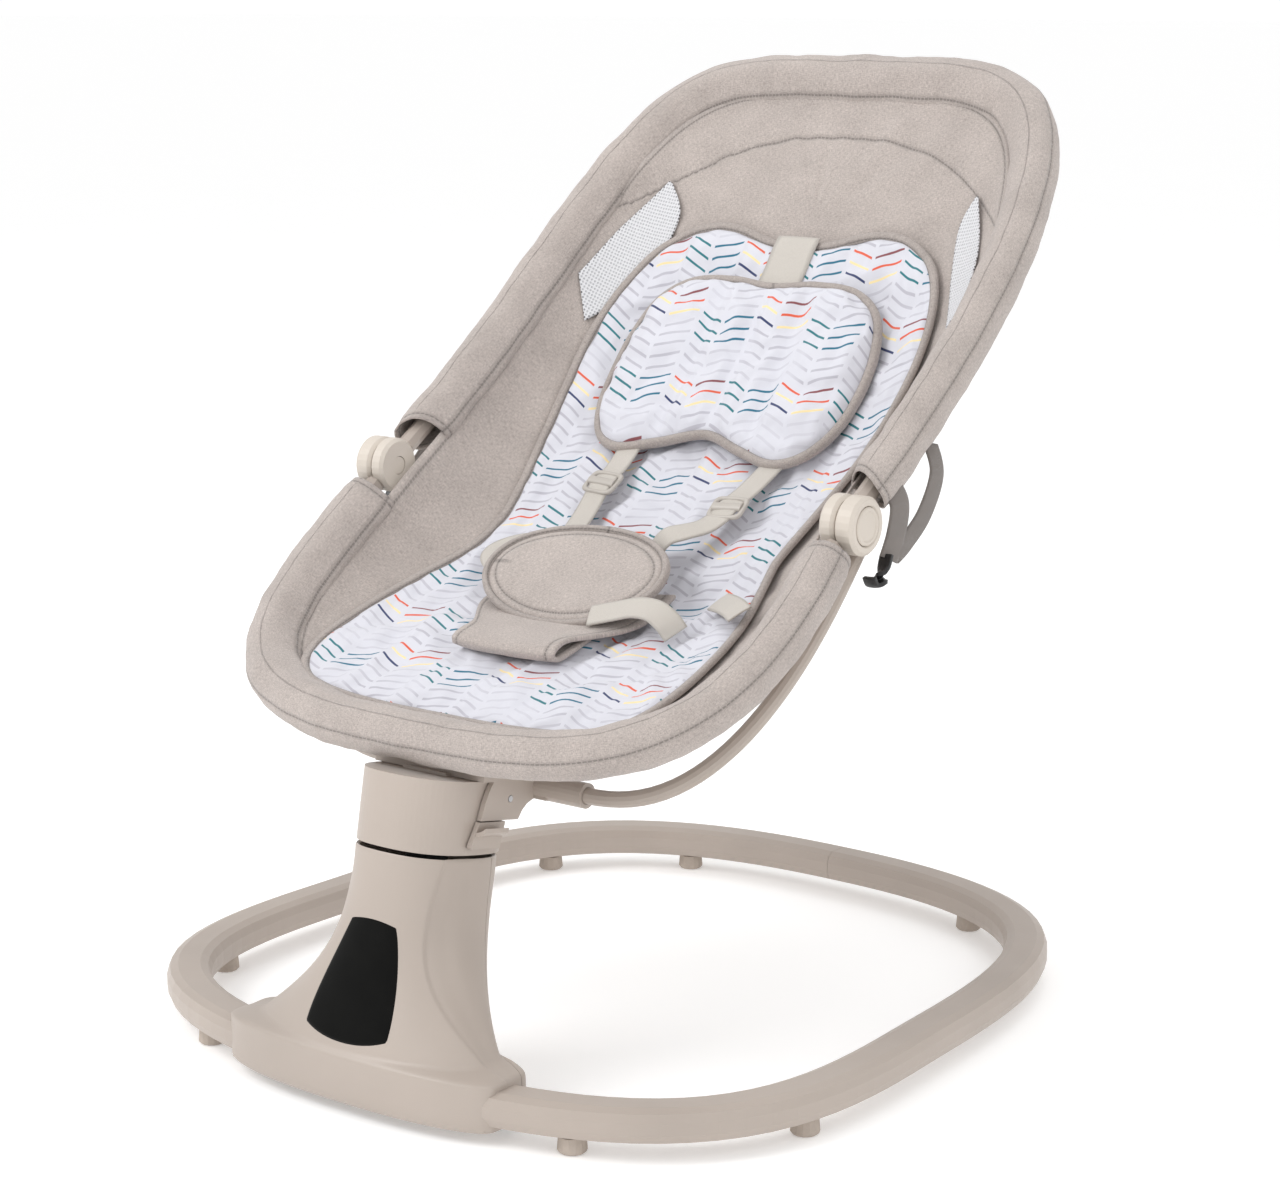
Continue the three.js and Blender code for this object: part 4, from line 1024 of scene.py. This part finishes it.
def sleeve(name, side, starts, steps):
    """A padded sleeve round half of the seat tube, fuller towards the seat and open at both hubs."""
    rows = loop_table(side, 0.0)
    total = rows[-1][0]
    radius = fabrics().sleeve_radius
    around = 40
    inner_start, outer_start = starts

    def section(v):
        angle = 2 * math.pi * v - math.radians(100)
        reach = (angle + math.radians(14) + math.pi) % (2 * math.pi) - math.pi
        lean = math.exp(-((reach / math.radians(34)) ** 2))
        return angle, lean

    def place(u, v):
        angle, lean = section(v)
        outward = 0.5 - 0.5 * math.cos(angle)
        start = inner_start + (outer_start - inner_start) * outward
        run = start + (total - 2 * start) * u
        centre, inward, up = tube_frame(run, rows)
        end = min(run - start, total - start - run)
        mouth = 1 - 0.08 * (1 - smooth(end, 0.0, 0.012))
        ripple = fold(run, math.cos(angle) * 0.03, math.sin(angle) * 0.03, 34.0, 1.0)
        fine = fold(run + 5, math.cos(angle) * 0.06, math.sin(angle) * 0.06, 90.0, 1.0)
        size = radius * mouth + 0.0016 * ripple + 0.0005 * fine
        reach = size * math.cos(angle) + 0.0078 * lean
        height = size * math.sin(angle) - 0.0040 * lean
        return centre + reach * inward + height * up

    def chart(u, v):
        return (u * total, v * 2 * math.pi * radius)

    def marks(u, v):
        angle, _ = section(v)
        start = inner_start + (outer_start - inner_start) * (0.5 - 0.5 * math.cos(angle))
        run = (total - 2 * start) * u
        hem = min(run, total - 2 * start - run) - 0.005
        near = angle - math.radians(152) if angle > math.radians(80) else angle - math.radians(4)
        return (near * radius, run), (hem, angle * radius)

    obj = cloth_grid(name, steps, around, place, chart, marks)
    weld(obj, 2e-5)
    return obj


class BOUNCER_OT_sleeves(bpy.types.Operator):
    """Make the padded sleeves that hold the cover on the seat tubes"""

    bl_idname = "bouncer.sleeves"
    bl_label = "Sleeves"

    def execute(self, context):
        for name, side, solid, starts, steps in (
            ("cover_sleeve_back", BACK, "cover_roll_back", (0.046, 0.030), 300),
            ("cover_sleeve_leg", LEG, "cover_roll_leg", (0.030, 0.030), 220),
        ):
            obj = sleeve(name, side, starts, steps)
            outward_check(obj)
            thicken(obj, 0.0015)
            dress(obj, cover_material())
            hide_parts(solid)
            bend_with_seat(obj)
        return {"FINISHED"}


def outward_check(obj):
    """Turns a tube's faces outwards if its grid ran the other way."""
    mesh = obj.data
    face = mesh.polygons[len(mesh.polygons) // 2]
    ring = [p for p in mesh.polygons if (p.center - face.center).length < 0.03]
    middle = sum((p.center for p in ring), Vector()) / len(ring)
    if face.normal.dot(face.center - middle) < 0:
        mesh.flip_normals()


WINDOW_SHARE = {"right": 0.55, "left": 1.0}
WINDOW = [(0.150, 0.352), (0.186, 0.246), (0.168, 0.212), (0.128, 0.322)]


class BOUNCER_OT_windows(bpy.types.Operator):
    """Sew a white air mesh window into each side wall of the cover"""

    bl_idname = "bouncer.windows"
    bl_label = "Mesh windows"

    def execute(self, context):
        top, low_out, low_in, high_in = WINDOW
        outer = spline([top, (0.1735, 0.300), low_out], 40)
        inner = spline([(0.146, 0.350), high_in, (0.137, 0.27), low_in], 40)
        for side, sign in (("right", 1), ("left", -1)):

            def cut(u, v, side=side):
                a, b = outer[round(v * 40)], inner[round(v * 40)]
                wide = u * WINDOW_SHARE[side]
                return a[0] + (b[0] - a[0]) * wide, a[1] + (b[1] - a[1]) * wide

            def place(u, v, sign=sign):
                x, s = cut(u, v)
                return seat_point(sign * x, s, 0.0022)

            def chart(u, v, sign=sign):
                x, s = cut(u, v)
                return (sign * x, s)

            def marks(u, v):
                a, b = outer[round(v * 40)], inner[round(v * 40)]
                wide = math.dist(a, b)
                return (min(u, 1 - u) * wide * 0.9, v * 0.15), (min(v, 1 - v) * 0.15, u * wide)

            obj = cloth_grid(f"mesh_window_{side}", 16, 40, place, chart, marks, flip=sign > 0)
            thicken(obj, 0.0010)
            dress(obj, bpy.data.materials.get("air_mesh") or air_mesh("air_mesh"))
            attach(obj, "backrest")
        return {"FINISHED"}


# ---- padded pieces ----
def mirror_outline(points):
    """A closed outline from its right half, listed from the top middle down to the bottom middle."""
    return points + [(-x, s) for x, s in reversed(points[1:-1])]


def closed_spline(points, steps):
    wrapped = [*points[-2:], *points, *points[:3]]
    dense = []
    for i in range(1, len(points) + 1):
        a, b, c, d = wrapped[i : i + 4]
        for j in range(30):
            dense.append(curve_point(a, b, c, d, j / 30))
    dense.append(dense[0])
    rows, run = [(0.0, *dense[0])], 0.0
    for a, b in zip(dense, dense[1:]):
        run += math.dist(a, b)
        rows.append((run, *b))
    return [at_length(rows, run * i / steps) for i in range(steps)]


def nearest(outline, x, s):
    return min(math.hypot(x - a, s - b) for a, b in outline)


def coons(outline, across, along):
    """Fills a closed outline, which starts at the top middle and runs down the right, with a grid."""
    total = len(outline)
    half = across // 2
    top_right = half
    bottom_right = top_right + along
    bottom_left = bottom_right + across
    top_left = bottom_left + along
    if top_left + half != total:
        raise ValueError(f"the outline has {total} points and not {top_left + half}")

    def cut(u, v):
        i, j = round(u * across), round(v * along)
        top = outline[(top_left + i) % total]
        bottom = outline[bottom_left - i]
        right = outline[bottom_right - j]
        left = outline[bottom_left + j]
        corners = (outline[bottom_left], outline[bottom_right], outline[top_left], outline[top_right])
        found = []
        for k in range(2):
            ruled = (1 - v) * bottom[k] + v * top[k] + (1 - u) * left[k] + u * right[k]
            flat = (
                (1 - u) * (1 - v) * corners[0][k]
                + u * (1 - v) * corners[1][k]
                + (1 - u) * v * corners[2][k]
                + u * v * corners[3][k]
            )
            found.append(ruled - flat)
        return tuple(found)

    return cut


def pad(name, outline_points, across, along, base, thickness, lay, channels=(), rim=0.03):
    """A closed padded piece on the seat: flat below, crowned above, its edge sewn shut."""
    outline = closed_spline(outline_points, 2 * (across + along))
    cut = coons(outline, across, along)
    cache = {}

    def crown(x, s):
        key = (round(x, 6), round(s, 6))
        if key not in cache:
            away = min(nearest(outline, x, s) / rim, 1.0)
            cache[key] = math.sqrt(max(1 - (1 - away) ** 2, 0.0))
        return cache[key]

    def sewn(x, s):
        return max((math.exp(-(((x - c(s)) / 0.0065) ** 2)) for c in channels), default=0.0)

    def top(u, v):
        x, s = cut(u, v)
        full = crown(x, s) * (1 - 0.42 * sewn(x, s) * crown(x, s))
        return lay(x, s, base + thickness * (0.12 + 0.88 * full))

    def bottom(u, v):
        x, s = cut(u, v)
        return lay(x, s, base + thickness * 0.12 * (1 - crown(x, s)))

    upper = cloth_grid(name, across, along, top, cut)
    lower = cloth_grid(name + "_under", across, along, bottom, cut, flip=True)
    obj = join(name, [upper, lower])
    weld(obj, 2e-5)
    return obj, outline, sewn


def chart_of(mesh):
    """Each point's place on the flat cloth, by its number."""
    layer = mesh.uv_layers.active.data
    charts = {}
    for loop in mesh.loops:
        charts.setdefault(loop.vertex_index, tuple(layer[loop.index].uv))
    return charts


def sewn_points(obj, held_share):
    """Points that stay put while a pad swells: its underside, its edge and its sewn lines."""
    mesh = obj.data
    charts = chart_of(mesh)
    held = {}
    for vertex in mesh.vertices:
        x, s = charts[vertex.index]
        weight = held_share(x, s, vertex)
        if weight > 0:
            held[vertex.index] = min(weight, 1.0)
    return held


def tape(name, outline, lay, lift, width, height):
    """Binding tape folded over an edge, as a flattened tube along the outline."""
    count = len(outline)

    def frame_at(i):
        a, b = outline[(i - 1) % count], outline[(i + 1) % count]
        x, s = outline[i % count]
        centre = lay(x, s, lift)
        tangent = (lay(*b, lift) - lay(*a, lift)).normalized()
        dx, ds = b[0] - a[0], b[1] - a[1]
        size = math.hypot(dx, ds) or 1.0
        inner = lay(x + 0.003 * ds / size, s - 0.003 * dx / size, lift) - centre
        side = (inner - inner.dot(tangent) * tangent).normalized()
        return centre, side, side.cross(tangent).normalized(), tangent

    frames = [frame_at(i) for i in range(count)]
    run = [0.0]
    for i in range(count):
        run.append(run[-1] + (frames[(i + 1) % count][0] - frames[i][0]).length)

    def place(u, v):
        i = round(u * count)
        centre, side, up, _ = frames[i % count]
        angle = 2 * math.pi * v
        cosine, sine = math.cos(angle), math.sin(angle)
        wave = 1 + 0.05 * noise.noise(Vector((run[i % count] * 60, v * 2, 0.5)))
        across = math.copysign(abs(cosine) ** 0.75, cosine) * width / 2 * wave
        rise = math.copysign(abs(sine) ** 0.75, sine) * height / 2 * wave
        return centre + across * side + rise * up

    def chart(u, v):
        return (run[round(u * count)], v * 2 * (width + height))

    def marks(u, v):
        return ((abs(v - 0.5) - 0.37) * 2 * (width + height), run[round(u * count)]),

    obj = cloth_grid(name, count, 12, place, chart, marks)
    weld(obj, 2e-5)
    choose(obj)
    bpy.ops.object.mode_set(mode="EDIT")
    bpy.ops.mesh.select_all(action="SELECT")
    bpy.ops.mesh.normals_make_consistent(inside=False)
    bpy.ops.object.mode_set(mode="OBJECT")
    return obj


LINER_OUTLINE = [
    (0.0, 0.303), (0.030, 0.3065), (0.060, 0.315), (0.085, 0.3165), (0.110, 0.308), (0.134, 0.287),
    (0.150, 0.250), (0.157, 0.205), (0.155, 0.155), (0.148, 0.100), (0.138, 0.045), (0.133, 0.005),
    (0.139, -0.030), (0.152, -0.075), (0.160, -0.120), (0.163, -0.170), (0.158, -0.205), (0.143, -0.230),
    (0.115, -0.243), (0.060, -0.249), (0.0, -0.250),
]
PILLOW_OUTLINE = [
    (0.0, 0.258), (0.040, 0.2615), (0.078, 0.258), (0.104, 0.240), (0.116, 0.208), (0.118, 0.172),
    (0.113, 0.138), (0.098, 0.110), (0.074, 0.0985), (0.040, 0.108), (0.0, 0.1215),
]
LINER_BASE = 0.0022
LINER_CHANNELS = (-0.112, -0.056, 0.0, 0.056, 0.112)
PILLOW_CHANNELS = (-0.048, 0.0, 0.048)


class BOUNCER_OT_liner(bpy.types.Operator):
    """Make the padded printed liner with its sewn channels and bound edge"""

    bl_idname = "bouncer.liner"
    bl_label = "Liner"

    def execute(self, context):
        settings = fabrics()
        channels = [lambda s, c=c: c + 0.003 * math.sin(s * 40 + c * 90) for c in LINER_CHANNELS]
        outline_points = mirror_outline(LINER_OUTLINE)
        across, along = 60, 110
        obj, outline, sewn = pad(
            "liner", outline_points, across, along, LINER_BASE, settings.liner_thickness, seat_point,
            channels, 0.022)
        crumple(obj, 0.0016, 46.0, lambda x, s: smooth(abs(s), 0.0, 0.06))

        def held(x, s, vertex):
            base = seat_point(x, s, LINER_BASE)
            above = (vertex.co - base).dot(NORMAL)
            if above < LINER_BASE or nearest(outline, x, s) < 0.006:
                return 1.0
            return 0.92 * sewn(x, s)

        swell(obj, sewn_points(obj, held), 3.0, 0.05, 0.0045)
        refine(obj)
        cotton = printed_cotton("printed_cotton", settings.print_column, settings.print_pitch, PRINT_SLOPE)
        dress(obj, cotton)
        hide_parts("liner_leg", "liner_hip", "liner_back")
        bend_with_seat(obj)
        edge = closed_spline(outline_points, 520)
        bound = tape("liner_binding", edge, seat_point, 0.0060, settings.binding_width, 0.0050)
        dress(bound, binding_material())
        bend_with_seat(bound)
        return {"FINISHED"}


def binding_material():
    found = bpy.data.materials.get("binding_tape")
    return found or melange("binding_tape", tuple(c * 0.86 for c in fabrics().cover_color), True, 0.3)


def crumple(obj, size, scale, share):
    """Small random creases on a pad's upper face."""
    charts = chart_of(obj.data)
    for vertex in obj.data.vertices:
        x, s = charts[vertex.index]
        crease = abs(noise.noise(Vector((x * scale, s * scale * 0.7, 2.3))))
        vertex.co += NORMAL * size * (0.5 - crease * 2.2) * (0.4 + 0.6 * share(x, s)) * top_share(vertex)


def top_share(vertex):
    return 1.0 if vertex.normal.dot(NORMAL) > 0.2 else 0.0


def pillow_lay(x, s, lift):
    """The pillow bridges the liner, so it curves less than the seat does."""
    point = seat_point(x * 0.72, s, lift)
    point.x = x
    return point


class BOUNCER_OT_pillow(bpy.types.Operator):
    """Make the head pillow, its binding and the strap that holds it"""

    bl_idname = "bouncer.pillow"
    bl_label = "Head pillow"

    def execute(self, context):
        settings = fabrics()
        channels = [lambda s, c=c: c * (0.9 + (s - 0.15) * -0.6) for c in PILLOW_CHANNELS]
        outline_points = mirror_outline(PILLOW_OUTLINE)
        across, along = 48, 36
        base = 0.016
        obj, outline, sewn = pad(
            "head_pillow_pad", outline_points, across, along, base, settings.pillow_thickness,
            pillow_lay, channels, 0.034)
        crumple(obj, 0.0016, 60.0, lambda x, s: 1.0)

        def held(x, s, vertex):
            above = (vertex.co - pillow_lay(x, s, base)).dot(NORMAL)
            if above < 0.0030 or nearest(outline, x, s) < 0.005:
                return 1.0
            return 0.9 * sewn(x, s)

        swell(obj, sewn_points(obj, held), 4.0, 0.06, 0.007)
        refine(obj)
        dress(obj, bpy.data.materials["printed_cotton"])
        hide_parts("head_pillow")
        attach(obj, "backrest")
        edge = closed_spline(outline_points, 240)
        bound = tape("pillow_binding", edge, pillow_lay, base + 0.0045, settings.binding_width, 0.0075)
        dress(bound, binding_material())
        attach(bound, "backrest")
        route = [(0.0, 0.309, 0.0100), (0.0, 0.296, 0.0125), (0.0, 0.275, 0.0140), (0.0, 0.250, 0.0190)]
        band = strap("pillow_strap_band", route, 0.040, 22)
        dress(band, strap_material())
        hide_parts("pillow_strap")
        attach(band, "backrest")
        return {"FINISHED"}


def strap_material():
    found = bpy.data.materials.get("harness_webbing")
    return found or webbing_cloth("harness_webbing", fabrics().strap_color)


def strap(name, route, width, steps):
    """Flat webbing that lies along a route of (x, s, lift) points on the seat."""
    line = spline(route, steps)
    points = [seat_point(*p) for p in line]
    return band_along(name, points, width, [NORMAL] * len(points))


def band_along(name, points, width, ups, thickness=0.0014):
    """Flat webbing along points, its face turned towards the matching direction in ups."""
    steps = len(points) - 1
    run = [0.0]
    for a, b in zip(points, points[1:]):
        run.append(run[-1] + (b - a).length)

    def place(u, v):
        i = round(v * steps)
        before, after = points[max(i - 1, 0)], points[min(i + 1, steps)]
        tangent = (after - before).normalized()
        side = tangent.cross(ups[i]).normalized()
        arch = 0.0006 * (1 - (2 * u - 1) ** 2)
        return points[i] + (u - 0.5) * width * side + arch * side.cross(tangent)

    def chart(u, v):
        return (u, run[round(v * steps)])

    obj = cloth_grid(name, 8, steps, place, chart)
    thicken(obj, thickness, 0.0)
    return obj


PAD_CENTRE = Vector((0.0, -0.0665, 0.3385))
PAD_ANGLE = math.radians(34)
PAD_HALF = (0.079, 0.0500)


def pad_lay(x, s, lift):
    along = Vector((0, math.cos(PAD_ANGLE), math.sin(PAD_ANGLE)))
    up = Vector((0, -math.sin(PAD_ANGLE), math.cos(PAD_ANGLE)))
    point = PAD_CENTRE + s * along + (lift + 0.004 * (x / PAD_HALF[0]) ** 2) * up
    point.x = x
    return point


def ellipse_outline(half_x, half_s, count=16, power=2.0):
    points = []
    for i in range(count + 1):
        angle = math.pi / 2 - math.pi * i / count
        cosine, sine = math.cos(angle), math.sin(angle)
        points.append((abs(cosine) ** (2 / power) * half_x,
                       math.copysign(abs(sine) ** (2 / power) * half_s, sine)))
    points[0] = (0.0, half_s)
    points[-1] = (0.0, -half_s)
    return mirror_outline(points)


class BOUNCER_OT_crotch_pad(bpy.types.Operator):
    """Make the round crotch pad and the folded flap under it"""

    bl_idname = "bouncer.crotch_pad"
    bl_label = "Crotch pad"

    def execute(self, context):
        across, along = 40, 24
        outline_points = ellipse_outline(*PAD_HALF)
        obj, outline, _ = pad(
            "crotch_pad_cover", outline_points, across, along, -0.004, 0.008, pad_lay, (), 0.016)
        ring(obj, outline, 0.0085)
        refine(obj)
        dress(obj, cover_material())
        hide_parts("crotch_pad")
        bend_with_seat(obj)
        edge = closed_spline(outline_points, 200)
        bound = tape("crotch_pad_binding", edge, pad_lay, -0.0005, 0.0060, 0.0065)
        dress(bound, binding_material())
        bend_with_seat(bound)
        flap = folded_flap()
        dress(flap, cover_material())
        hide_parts("crotch_flap")
        bend_with_seat(flap)
        return {"FINISHED"}


def ring(obj, outline, inset):
    """Marks a ring of stitching inside a pad's edge and presses it in."""
    mesh = obj.data
    charts = chart_of(mesh)
    rows = []
    for vertex in mesh.vertices:
        x, s = charts[vertex.index]
        away = nearest(outline, x, s) - inset
        rows.append(((away, math.atan2(s, x) * 0.06),))
        if vertex.normal.dot(NORMAL) > 0.2:
            vertex.co -= NORMAL * 0.0014 * math.exp(-((away / 0.003) ** 2))
    store_marks(mesh, rows)


FLAP_PROFILE = [
    (-0.088, 0.0160), (-0.120, 0.0165), (-0.150, 0.0160), (-0.1610, 0.0170), (-0.1665, 0.0205),
    (-0.1650, 0.0245), (-0.1560, 0.0265), (-0.135, 0.0245), (-0.110, 0.0215),
    (-0.085, 0.0205), (-0.060, 0.0205),
]


def folded_flap():
    """The padded tongue of the crotch pad, folded back under it and open at the sides."""
    line = spline(FLAP_PROFILE, 48)

    def cut(u, v):
        s, lift = line[round(v * 48)]
        upper = smooth(v, 0.42, 0.60)
        spread = smooth(-s, 0.165, 0.105)
        half = 0.0440 + 0.0320 * (1 - smooth(-s, 0.100, 0.160)) * upper + 0.004 * (1 - upper)
        return (2 * u - 1) * half, s, lift, upper * spread

    def place(u, v):
        x, s, lift, _ = cut(u, v)
        side = abs(2 * u - 1)
        curl = 0.0035 * side**3 * smooth(v, 0.5, 0.7)
        wave = 0.0012 * noise.noise(Vector((x * 30, s * 30, lift * 60)))
        return seat_point(x, s + 0.010 * side**3 * smooth(v, 0.3, 0.55), lift - curl + wave)

    def chart(u, v):
        x = cut(u, v)[0]
        return (x, v * 0.25)

    def marks(u, v):
        half = abs(cut(1.0, v)[0])
        return ((min(u, 1 - u) * 2 * half - 0.0065), v * 0.25),

    obj = cloth_grid("crotch_flap_fold", 30, 48, place, chart, marks)
    thicken(obj, 0.0038, 0.0)
    apply_modifier(obj, "BEVEL", width=0.0015, segments=2, angle_limit=math.radians(60))
    return obj


ADJUSTERS = {"right": (0.068, 0.044), "left": (-0.058, 0.054)}


def adjuster(name, x, s, lean):
    """A moulded ladder-lock slider: a rounded frame with a fat bar across its middle."""
    choose_none()
    bpy.ops.mesh.primitive_torus_add(
        major_radius=0.0120, minor_radius=0.0019, major_segments=48, minor_segments=12)
    frame_part = bpy.context.object
    for vertex in frame_part.data.vertices:
        flat = math.hypot(vertex.co.x, vertex.co.y)
        c, w = vertex.co.x / flat, vertex.co.y / flat
        square = 1 / (abs(c) ** 5 + abs(w) ** 5) ** 0.2
        over = flat - 0.0120
        vertex.co.x = c * square * (0.0135 + over)
        vertex.co.y = w * square * (0.0105 + over)
    bpy.ops.mesh.primitive_cylinder_add(
        radius=0.0032, depth=0.0250, vertices=24, rotation=(0, math.pi / 2, 0))
    bar = bpy.context.object
    bpy.ops.object.transform_apply(location=True, rotation=True, scale=True)
    for vertex in bar.data.vertices:
        vertex.co.y *= 1.25
        vertex.co.z = vertex.co.z * 0.8 + 0.0012
    obj = join(name, [frame_part, bar])
    along = (seat_point(x, s + 0.01) - seat_point(x, s - 0.01)).normalized()
    across = along.cross(NORMAL).normalized()
    up = across.cross(along).normalized()
    turned = (across * math.cos(lean) + along * math.sin(lean)).normalized()
    ahead = up.cross(turned).normalized()
    place = Matrix((turned, ahead, up)).transposed().to_4x4()
    place.translation = seat_point(x, s, 0.0245)
    obj.data.transform(place)
    choose(obj)
    bpy.ops.object.shade_smooth_by_angle(angle=math.radians(40))
    return obj


def choose_none():
    bpy.ops.object.select_all(action="DESELECT")


STRAP_ROUTES = {
    "shoulder_strap_left_band": [
        (-0.066, 0.135, 0.0185), (-0.064, 0.110, 0.0185), (-0.060, 0.080, 0.0205),
        (-0.058, 0.064, 0.0235), (-0.058, 0.054, 0.0255), (-0.058, 0.044, 0.0235),
        (-0.057, 0.025, 0.0205), (-0.055, 0.000, 0.0200), (-0.050, -0.025, 0.0215)],
    "shoulder_strap_right_band": [
        (0.078, 0.130, 0.0185), (0.075, 0.100, 0.0185), (0.071, 0.070, 0.0205),
        (0.069, 0.054, 0.0235), (0.068, 0.044, 0.0255), (0.066, 0.034, 0.0245),
        (0.061, 0.020, 0.0260), (0.053, 0.006, 0.0320), (0.044, -0.004, 0.0340),
        (0.036, -0.014, 0.0280), (0.026, -0.026, 0.0260)],
    "waist_strap_right_band": [
        (0.040, -0.105, 0.0290), (0.060, -0.098, 0.0330), (0.078, -0.094, 0.0370),
        (0.094, -0.094, 0.0360), (0.106, -0.098, 0.0290), (0.113, -0.102, 0.0190)],
    "waist_strap_left_band": [
        (-0.050, -0.070, 0.0290), (-0.074, -0.062, 0.0300), (-0.094, -0.050, 0.0280),
        (-0.104, -0.036, 0.0230), (-0.096, -0.020, 0.0185), (-0.074, -0.012, 0.0175),
        (-0.050, -0.014, 0.0180)],
    "waist_tab_right_band": [
        (0.116, -0.052, 0.0165), (0.128, -0.058, 0.0190), (0.142, -0.066, 0.0200),
        (0.154, -0.074, 0.0170)],
}


class BOUNCER_OT_harness(bpy.types.Operator):
    """Lay the shoulder and waist webbing of the harness with its adjusters"""

    bl_idname = "bouncer.harness"
    bl_label = "Harness"

    def execute(self, context):
        width = plastics().webbing_width
        solids = {
            "shoulder_strap_left_band": "shoulder_strap_left",
            "shoulder_strap_right_band": "shoulder_strap_right",
        }
        for name, route in STRAP_ROUTES.items():
            band = strap(name, route, width, 60)
            dress(band, strap_material())
            if name in solids:
                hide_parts(solids[name])
            bend_with_seat(band)
        buckle = plastic("buckle_plastic", (0.47, 0.435, 0.395), 0.30)
        for side, (x, s) in ADJUSTERS.items():
            obj = adjuster(f"strap_adjuster_{side}_ladder", x, s, 0.10 if side == "right" else -0.06)
            dress(obj, buckle)
            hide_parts(f"strap_adjuster_{side}")
            bend_with_seat(obj)
        return {"FINISHED"}


TAB = [(0.226, 0.040, 0.024), (0.2335, 0.042, 0.010), (0.2350, 0.036, -0.010), (0.2340, 0.028, -0.028)]
LOOP = [(0.2255, 0.096, 0.046), (0.2360, 0.088, 0.026), (0.2385, 0.068, 0.000), (0.2370, 0.046, -0.018),
        (0.2350, 0.034, -0.026)]
HOOK = [(0.2340, 0.026, -0.024), (0.2345, 0.021, -0.034), (0.2350, 0.015, -0.042), (0.2340, 0.008, -0.043),
        (0.2330, 0.005, -0.037)]


class BOUNCER_OT_hooks(bpy.types.Operator):
    """Make the tabs and black hooks that hold the cover beside each hub"""

    bl_idname = "bouncer.hooks"
    bl_label = "Hooks"

    def execute(self, context):
        black = plastic("hook_plastic", (0.012, 0.012, 0.013), 0.35)
        for side, sign in (("right", 1), ("left", -1)):
            facing = Vector((sign, -0.25, 0)).normalized()
            bands = []
            for name, route, wide in ((f"cover_tab_{side}", TAB, 0.018), (f"cover_loop_{side}", LOOP, 0.014)):
                line = [Vector((sign * x, HUB_Y + y, HUB_Z + z)) for x, y, z in spline(route, 30)]
                bands.append(band_along(name, line, wide, [facing] * len(line), 0.0016))
            tab = join(f"cover_tab_{side}", bands)
            dress(tab, binding_material())
            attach(tab, "backrest")
            line = [Vector((sign * x, HUB_Y + y, HUB_Z + z)) for x, y, z in spline(HOOK, 24)]
            obj = band_along(f"cover_hook_{side}", line, 0.011, [Vector((0, -0.6, -0.8))] * len(line), 0.0030)
            apply_modifier(obj, "BEVEL", width=0.0008, segments=2, angle_limit=math.radians(50))
            dress(obj, black)
            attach(obj, "backrest")
        return {"FINISHED"}


class BOUNCER_PT_panel(bpy.types.Panel):
    """Buttons and settings for each piece of the bouncer seat"""

    bl_idname = "BOUNCER_PT_panel"
    bl_label = "Bouncer seat"
    bl_space_type = "VIEW_3D"
    bl_region_type = "UI"
    bl_category = "Bouncer"

    def draw(self, context):
        layout = self.layout
        for operator in OPERATORS:
            layout.operator(operator.bl_idname)
        scene = context.scene
        for group in (scene.bouncer_fabrics, scene.bouncer_plastics, scene.bouncer_stage):
            box = layout.box()
            for key in group.__annotations__:
                box.prop(group, key)


OPERATORS = (
    BOUNCER_OT_stage,
    BOUNCER_OT_finishes,
    BOUNCER_OT_sling,
    BOUNCER_OT_sleeves,
    BOUNCER_OT_windows,
    BOUNCER_OT_liner,
    BOUNCER_OT_pillow,
    BOUNCER_OT_crotch_pad,
    BOUNCER_OT_harness,
    BOUNCER_OT_hooks,
    BOUNCER_OT_tower,
)
GROUPS = {
    "bouncer_fabrics": BouncerFabrics,
    "bouncer_plastics": BouncerPlastics,
    "bouncer_stage": BouncerStage,
}


def register():
    for cls in (*GROUPS.values(), *OPERATORS, BOUNCER_PT_panel):
        bpy.utils.register_class(cls)
    for key, group in GROUPS.items():
        setattr(bpy.types.Scene, key, PointerProperty(type=group))


def unregister():
    for key in GROUPS:
        delattr(bpy.types.Scene, key)
    for cls in reversed((*GROUPS.values(), *OPERATORS, BOUNCER_PT_panel)):
        bpy.utils.unregister_class(cls)


def main():
    register()
    for operator in OPERATORS:
        group, name = operator.bl_idname.split(".")
        getattr(getattr(bpy.ops, group), name)()


if __name__ == "__main__":
    main()
